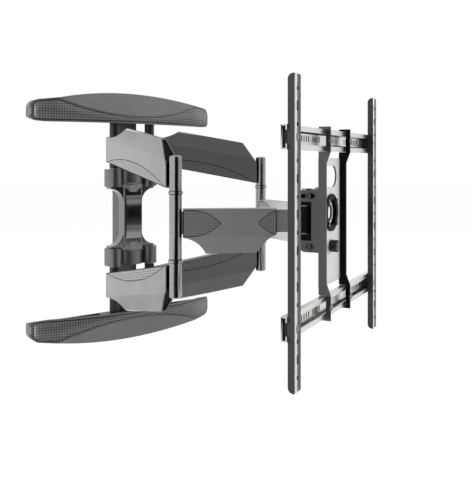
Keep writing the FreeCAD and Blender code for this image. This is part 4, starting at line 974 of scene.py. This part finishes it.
# %% Plates of painted light on the slotted arms and the centre bracket
PLATE_MARGIN = 0.3 * MM
TV_ARM_AT, TV_ARM_HALF = 200 * MM, 12 * MM
STRIP_DEPTHS, STRIP_HEIGHT = (49 * MM, 52 * MM), 0.15 * MM
STRIP_EDGE, STRIP_FOLD = 0.5 * MM, 1.5 * MM
BRACKET_DEPTHS, BRACKET_PLATE = (29 * MM, 31 * MM), 0.2 * MM
BRACKET_HALF = 49 * MM
towards_tv = (HEAD.to_3x3() @ Vector((0, -1, 0))).normalized()
to_head = HEAD.inverted()


def front_plate(node, depths, left, right, height):
    """Grow a plate on a node's faces that look at the television, between two depths and two sides."""
    def wanted(face):
        spot = to_head @ face.calc_center_median()
        return face.normal.dot(towards_tv) > SAME_WAY and depths[0] < -spot.y < depths[1]

    bm = faces_of(node, wanted)
    for limit, way in ((left, -1), (right, 1)):
        cut_away(bm, HEAD @ Vector((limit, 0, 0)), RAIL_WAY * way)
    trim(bm, PLATE_MARGIN)
    thicken(bm, height)
    print(node, "plate faces", len(bm.faces))
    return bm


for side, way in (("left", -1), ("right", 1)):
    at = way * TV_ARM_AT
    bm = front_plate(f"{side}_tv_arm", STRIP_DEPTHS, at - TV_ARM_HALF + STRIP_EDGE, at - STRIP_FOLD,
                     STRIP_HEIGHT)
    make_piece(f"{side}_tv_arm_painted_light_strip", bm, f"{side}_tv_side", painted_light_white)
bm = front_plate("centre_bracket", BRACKET_DEPTHS, -BRACKET_HALF, BRACKET_HALF, BRACKET_PLATE)
make_piece("bracket_painted_light_plate", bm, "tv_frame", painted_light_white)

# %% Shaded inner face of the bracket's right side plate
BRACKET_INNER = 45 * MM
INNER_MARGIN, INNER_PLATE = 0.2 * MM, 0.1 * MM


def on_inner_face(face):
    """The inner side of the right side plate, which looks back along the rails."""
    return (face.normal.dot(RAIL_WAY) < -SAME_WAY
            and (to_head @ face.calc_center_median()).x > BRACKET_INNER)


# A black plate of painted shade on the inner face.
bm = faces_of("centre_bracket", on_inner_face)
trim(bm, INNER_MARGIN)
thicken(bm, INNER_PLATE)
print("inner face plate faces", len(bm.faces))
make_piece("bracket_inner_shade_plate", bm, "tv_frame", flat_black)

# %% [markdown]
# ## Level disc and socket bolts
#
# The disc that lets the frame turn level is a toothed ring, and the pale plate behind shows through it; that
# plate is painted light, like the bracket's face. The engineering disc has a smaller plain bore, so a copy of
# it gets a wider one: the points of the bore move outwards, every second one a little less, which makes the
# teeth. The bolts on the tilt ears have hexagonal sockets: a spun bolt whose socket points are drawn onto a
# hexagon.

# %% Toothed level disc
PLAIN_BORE, BORE_PLAY = 14.0 * MM, 0.2 * MM
TOOTH_ROOT, TOOTH_TIP = 22.0 * MM, 20.6 * MM
level_axis = pivot("level")
bm = faces_of("level_disc", lambda face: True)
bore = {}
for vert in bm.verts:
    off = vert.co - level_axis
    spoke = off - towards_tv * off.dot(towards_tv)
    if abs(spoke.length - PLAIN_BORE) < BORE_PLAY:
        angle = round(math.degrees(math.atan2(spoke.z, spoke.dot(RAIL_WAY))), 1)
        bore.setdefault(angle, []).append((vert, spoke))
for rank, angle in enumerate(sorted(bore)):
    for vert, spoke in bore[angle]:
        vert.co += spoke.normalized() * ((TOOTH_TIP if rank % 2 else TOOTH_ROOT) - spoke.length)
disc_back = min((vert.co - level_axis).dot(towards_tv) for vert in bm.verts)
for face in bm.faces:
    face.smooth = False
print("level disc with", len(bore), "points round its bore, open edges", open_edges(bm))
ring = make_piece("toothed_level_disc", bm, "tilt_head", flat_black)
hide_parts("level_disc")

# %% Pale backing of the level disc, painted light
BACKING_INNER, BACKING_OUTER = PLAIN_BORE + 0.3 * MM, TOOTH_TIP - 0.2 * MM
BACKING_LOW, BACKING_HIGH, BACKING_EDGE = 0.02 * MM, 0.25 * MM, 0.05 * MM
facing_tv = towards_tv.to_track_quat("Z", "Y").to_matrix().to_4x4()
bm = spun(tube(BACKING_INNER, BACKING_OUTER, BACKING_LOW, BACKING_HIGH, BACKING_EDGE),
          Matrix.Translation(level_axis + towards_tv * disc_back) @ facing_tv)
print("backing faces", len(bm.faces), "open edges", open_edges(bm))
make_piece("level_disc_painted_light_backing", bm, "tilt_head", painted_light_white)

# %% Socket bolts on the tilt ears
BOLT_OUTLINE_MM = [(0, 14), (3, 14), (3, 52.05), (5, 52.05), (5, 55.1), (4.6, 55.5), (2.9, 55.5), (2.9, 53.2),
                   (0, 53.2)]
SOCKET_POINT, SOCKET_FLAT, SOCKET_PLAY = 2.9 * MM, 2.5 * MM, 0.05 * MM
SIXTH = math.radians(60)
along_rails = RAIL_WAY.to_track_quat("Z", "Y").to_matrix().to_4x4()
for name in ("tilt_pivot_bolts", "tilt_lock_bolts"):
    low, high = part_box(name)
    spot = Vector((*pivot("tilt").xy, (low[2] + high[2]) / 2))
    bm = spun([(r * MM, z * MM) for r, z in BOLT_OUTLINE_MM], Matrix.Identity(4))
    for vert in bm.verts:
        if abs(vert.co.xy.length - SOCKET_POINT) < SOCKET_PLAY:
            turn = math.atan2(vert.co.y, vert.co.x) % SIXTH - SIXTH / 2
            vert.co.xy = vert.co.xy.normalized() * SOCKET_FLAT / math.cos(turn)
    bmesh.ops.transform(bm, matrix=Matrix.Translation(spot) @ along_rails, verts=bm.verts)
    twin = bmesh.ops.duplicate(bm, geom=everything(bm))["geom"]
    bmesh.ops.rotate(bm, verts=only(bmesh.types.BMVert, twin), cent=spot,
                     matrix=Matrix.Rotation(math.pi, 3, "Z"))
    print(name, "faces", len(bm.faces), "open edges", open_edges(bm))
    bolts = make_piece(name.replace("bolts", "socket_bolts"), bm, "yoke", black_oxide)
    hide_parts(name)

# %% [markdown]
# ## Painted shade in the rails
#
# Seen at a slant, the walls of the rails' slots are dark, and a dark line runs beside each lip where the
# channel's corner lies in shade. Both are painted shade: the slot walls get a hair of black, grown from the
# walls themselves, and two strips of the web's own face are blackened in the same way.

# %% Painted shade on the slot walls and in the corners of the rails
RAIL_WIDTH, RAIL_LIP = 35 * MM, 8 * MM
RAIL_WEB_HALF = RAIL_WIDTH / 2 - RAIL_LIP
SLOT_HALF = 5.5 * MM
CORNER_LINE, CORNER_HEIGHT = 2.2 * MM, 0.1 * MM
SLOT_SHADE_HEIGHT = 0.08 * MM


def on_slot_wall(centre):
    """A test for the walls of the slots in a rail whose middle is at a height."""
    return lambda face: (abs(face.normal.dot(towards_tv)) < ACROSS
                         and abs(face.calc_center_median().z - centre) < SLOT_HALF)


def on_web(centre):
    """A test for the face of a rail's web that looks at the television."""
    return lambda face: (face.normal.dot(towards_tv) > SAME_WAY
                         and abs(face.calc_center_median().z - centre) < RAIL_WEB_HALF)


for row in ROWS:
    low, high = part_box(f"{row}_rail")
    centre = (low[2] + high[2]) / 2
    bm = faces_of(f"{row}_rail", on_slot_wall(centre))
    print(row, "slot wall faces", len(bm.faces))
    thicken(bm, SLOT_SHADE_HEIGHT)
    make_piece(f"{row}_rail_slot_shade", bm, "tv_frame", painted_groove_shade)
    web = faces_of(f"{row}_rail", on_web(centre))
    for edge_name, way in LEVELS:
        bm = web.copy()
        outer = centre + way * RAIL_WEB_HALF
        for level, facing in ((outer, way), (outer - way * CORNER_LINE, -way)):
            cut_away(bm, (0, 0, level), (0, 0, facing))
        thicken(bm, CORNER_HEIGHT)
        print(row, edge_name, "corner line faces", len(bm.faces))
        make_piece(f"{row}_rail_{edge_name}_line", bm, "tv_frame", painted_groove_shade)
    web.free()

# %% [markdown]
# ## Last lines
#

# %% Finish
print("done")
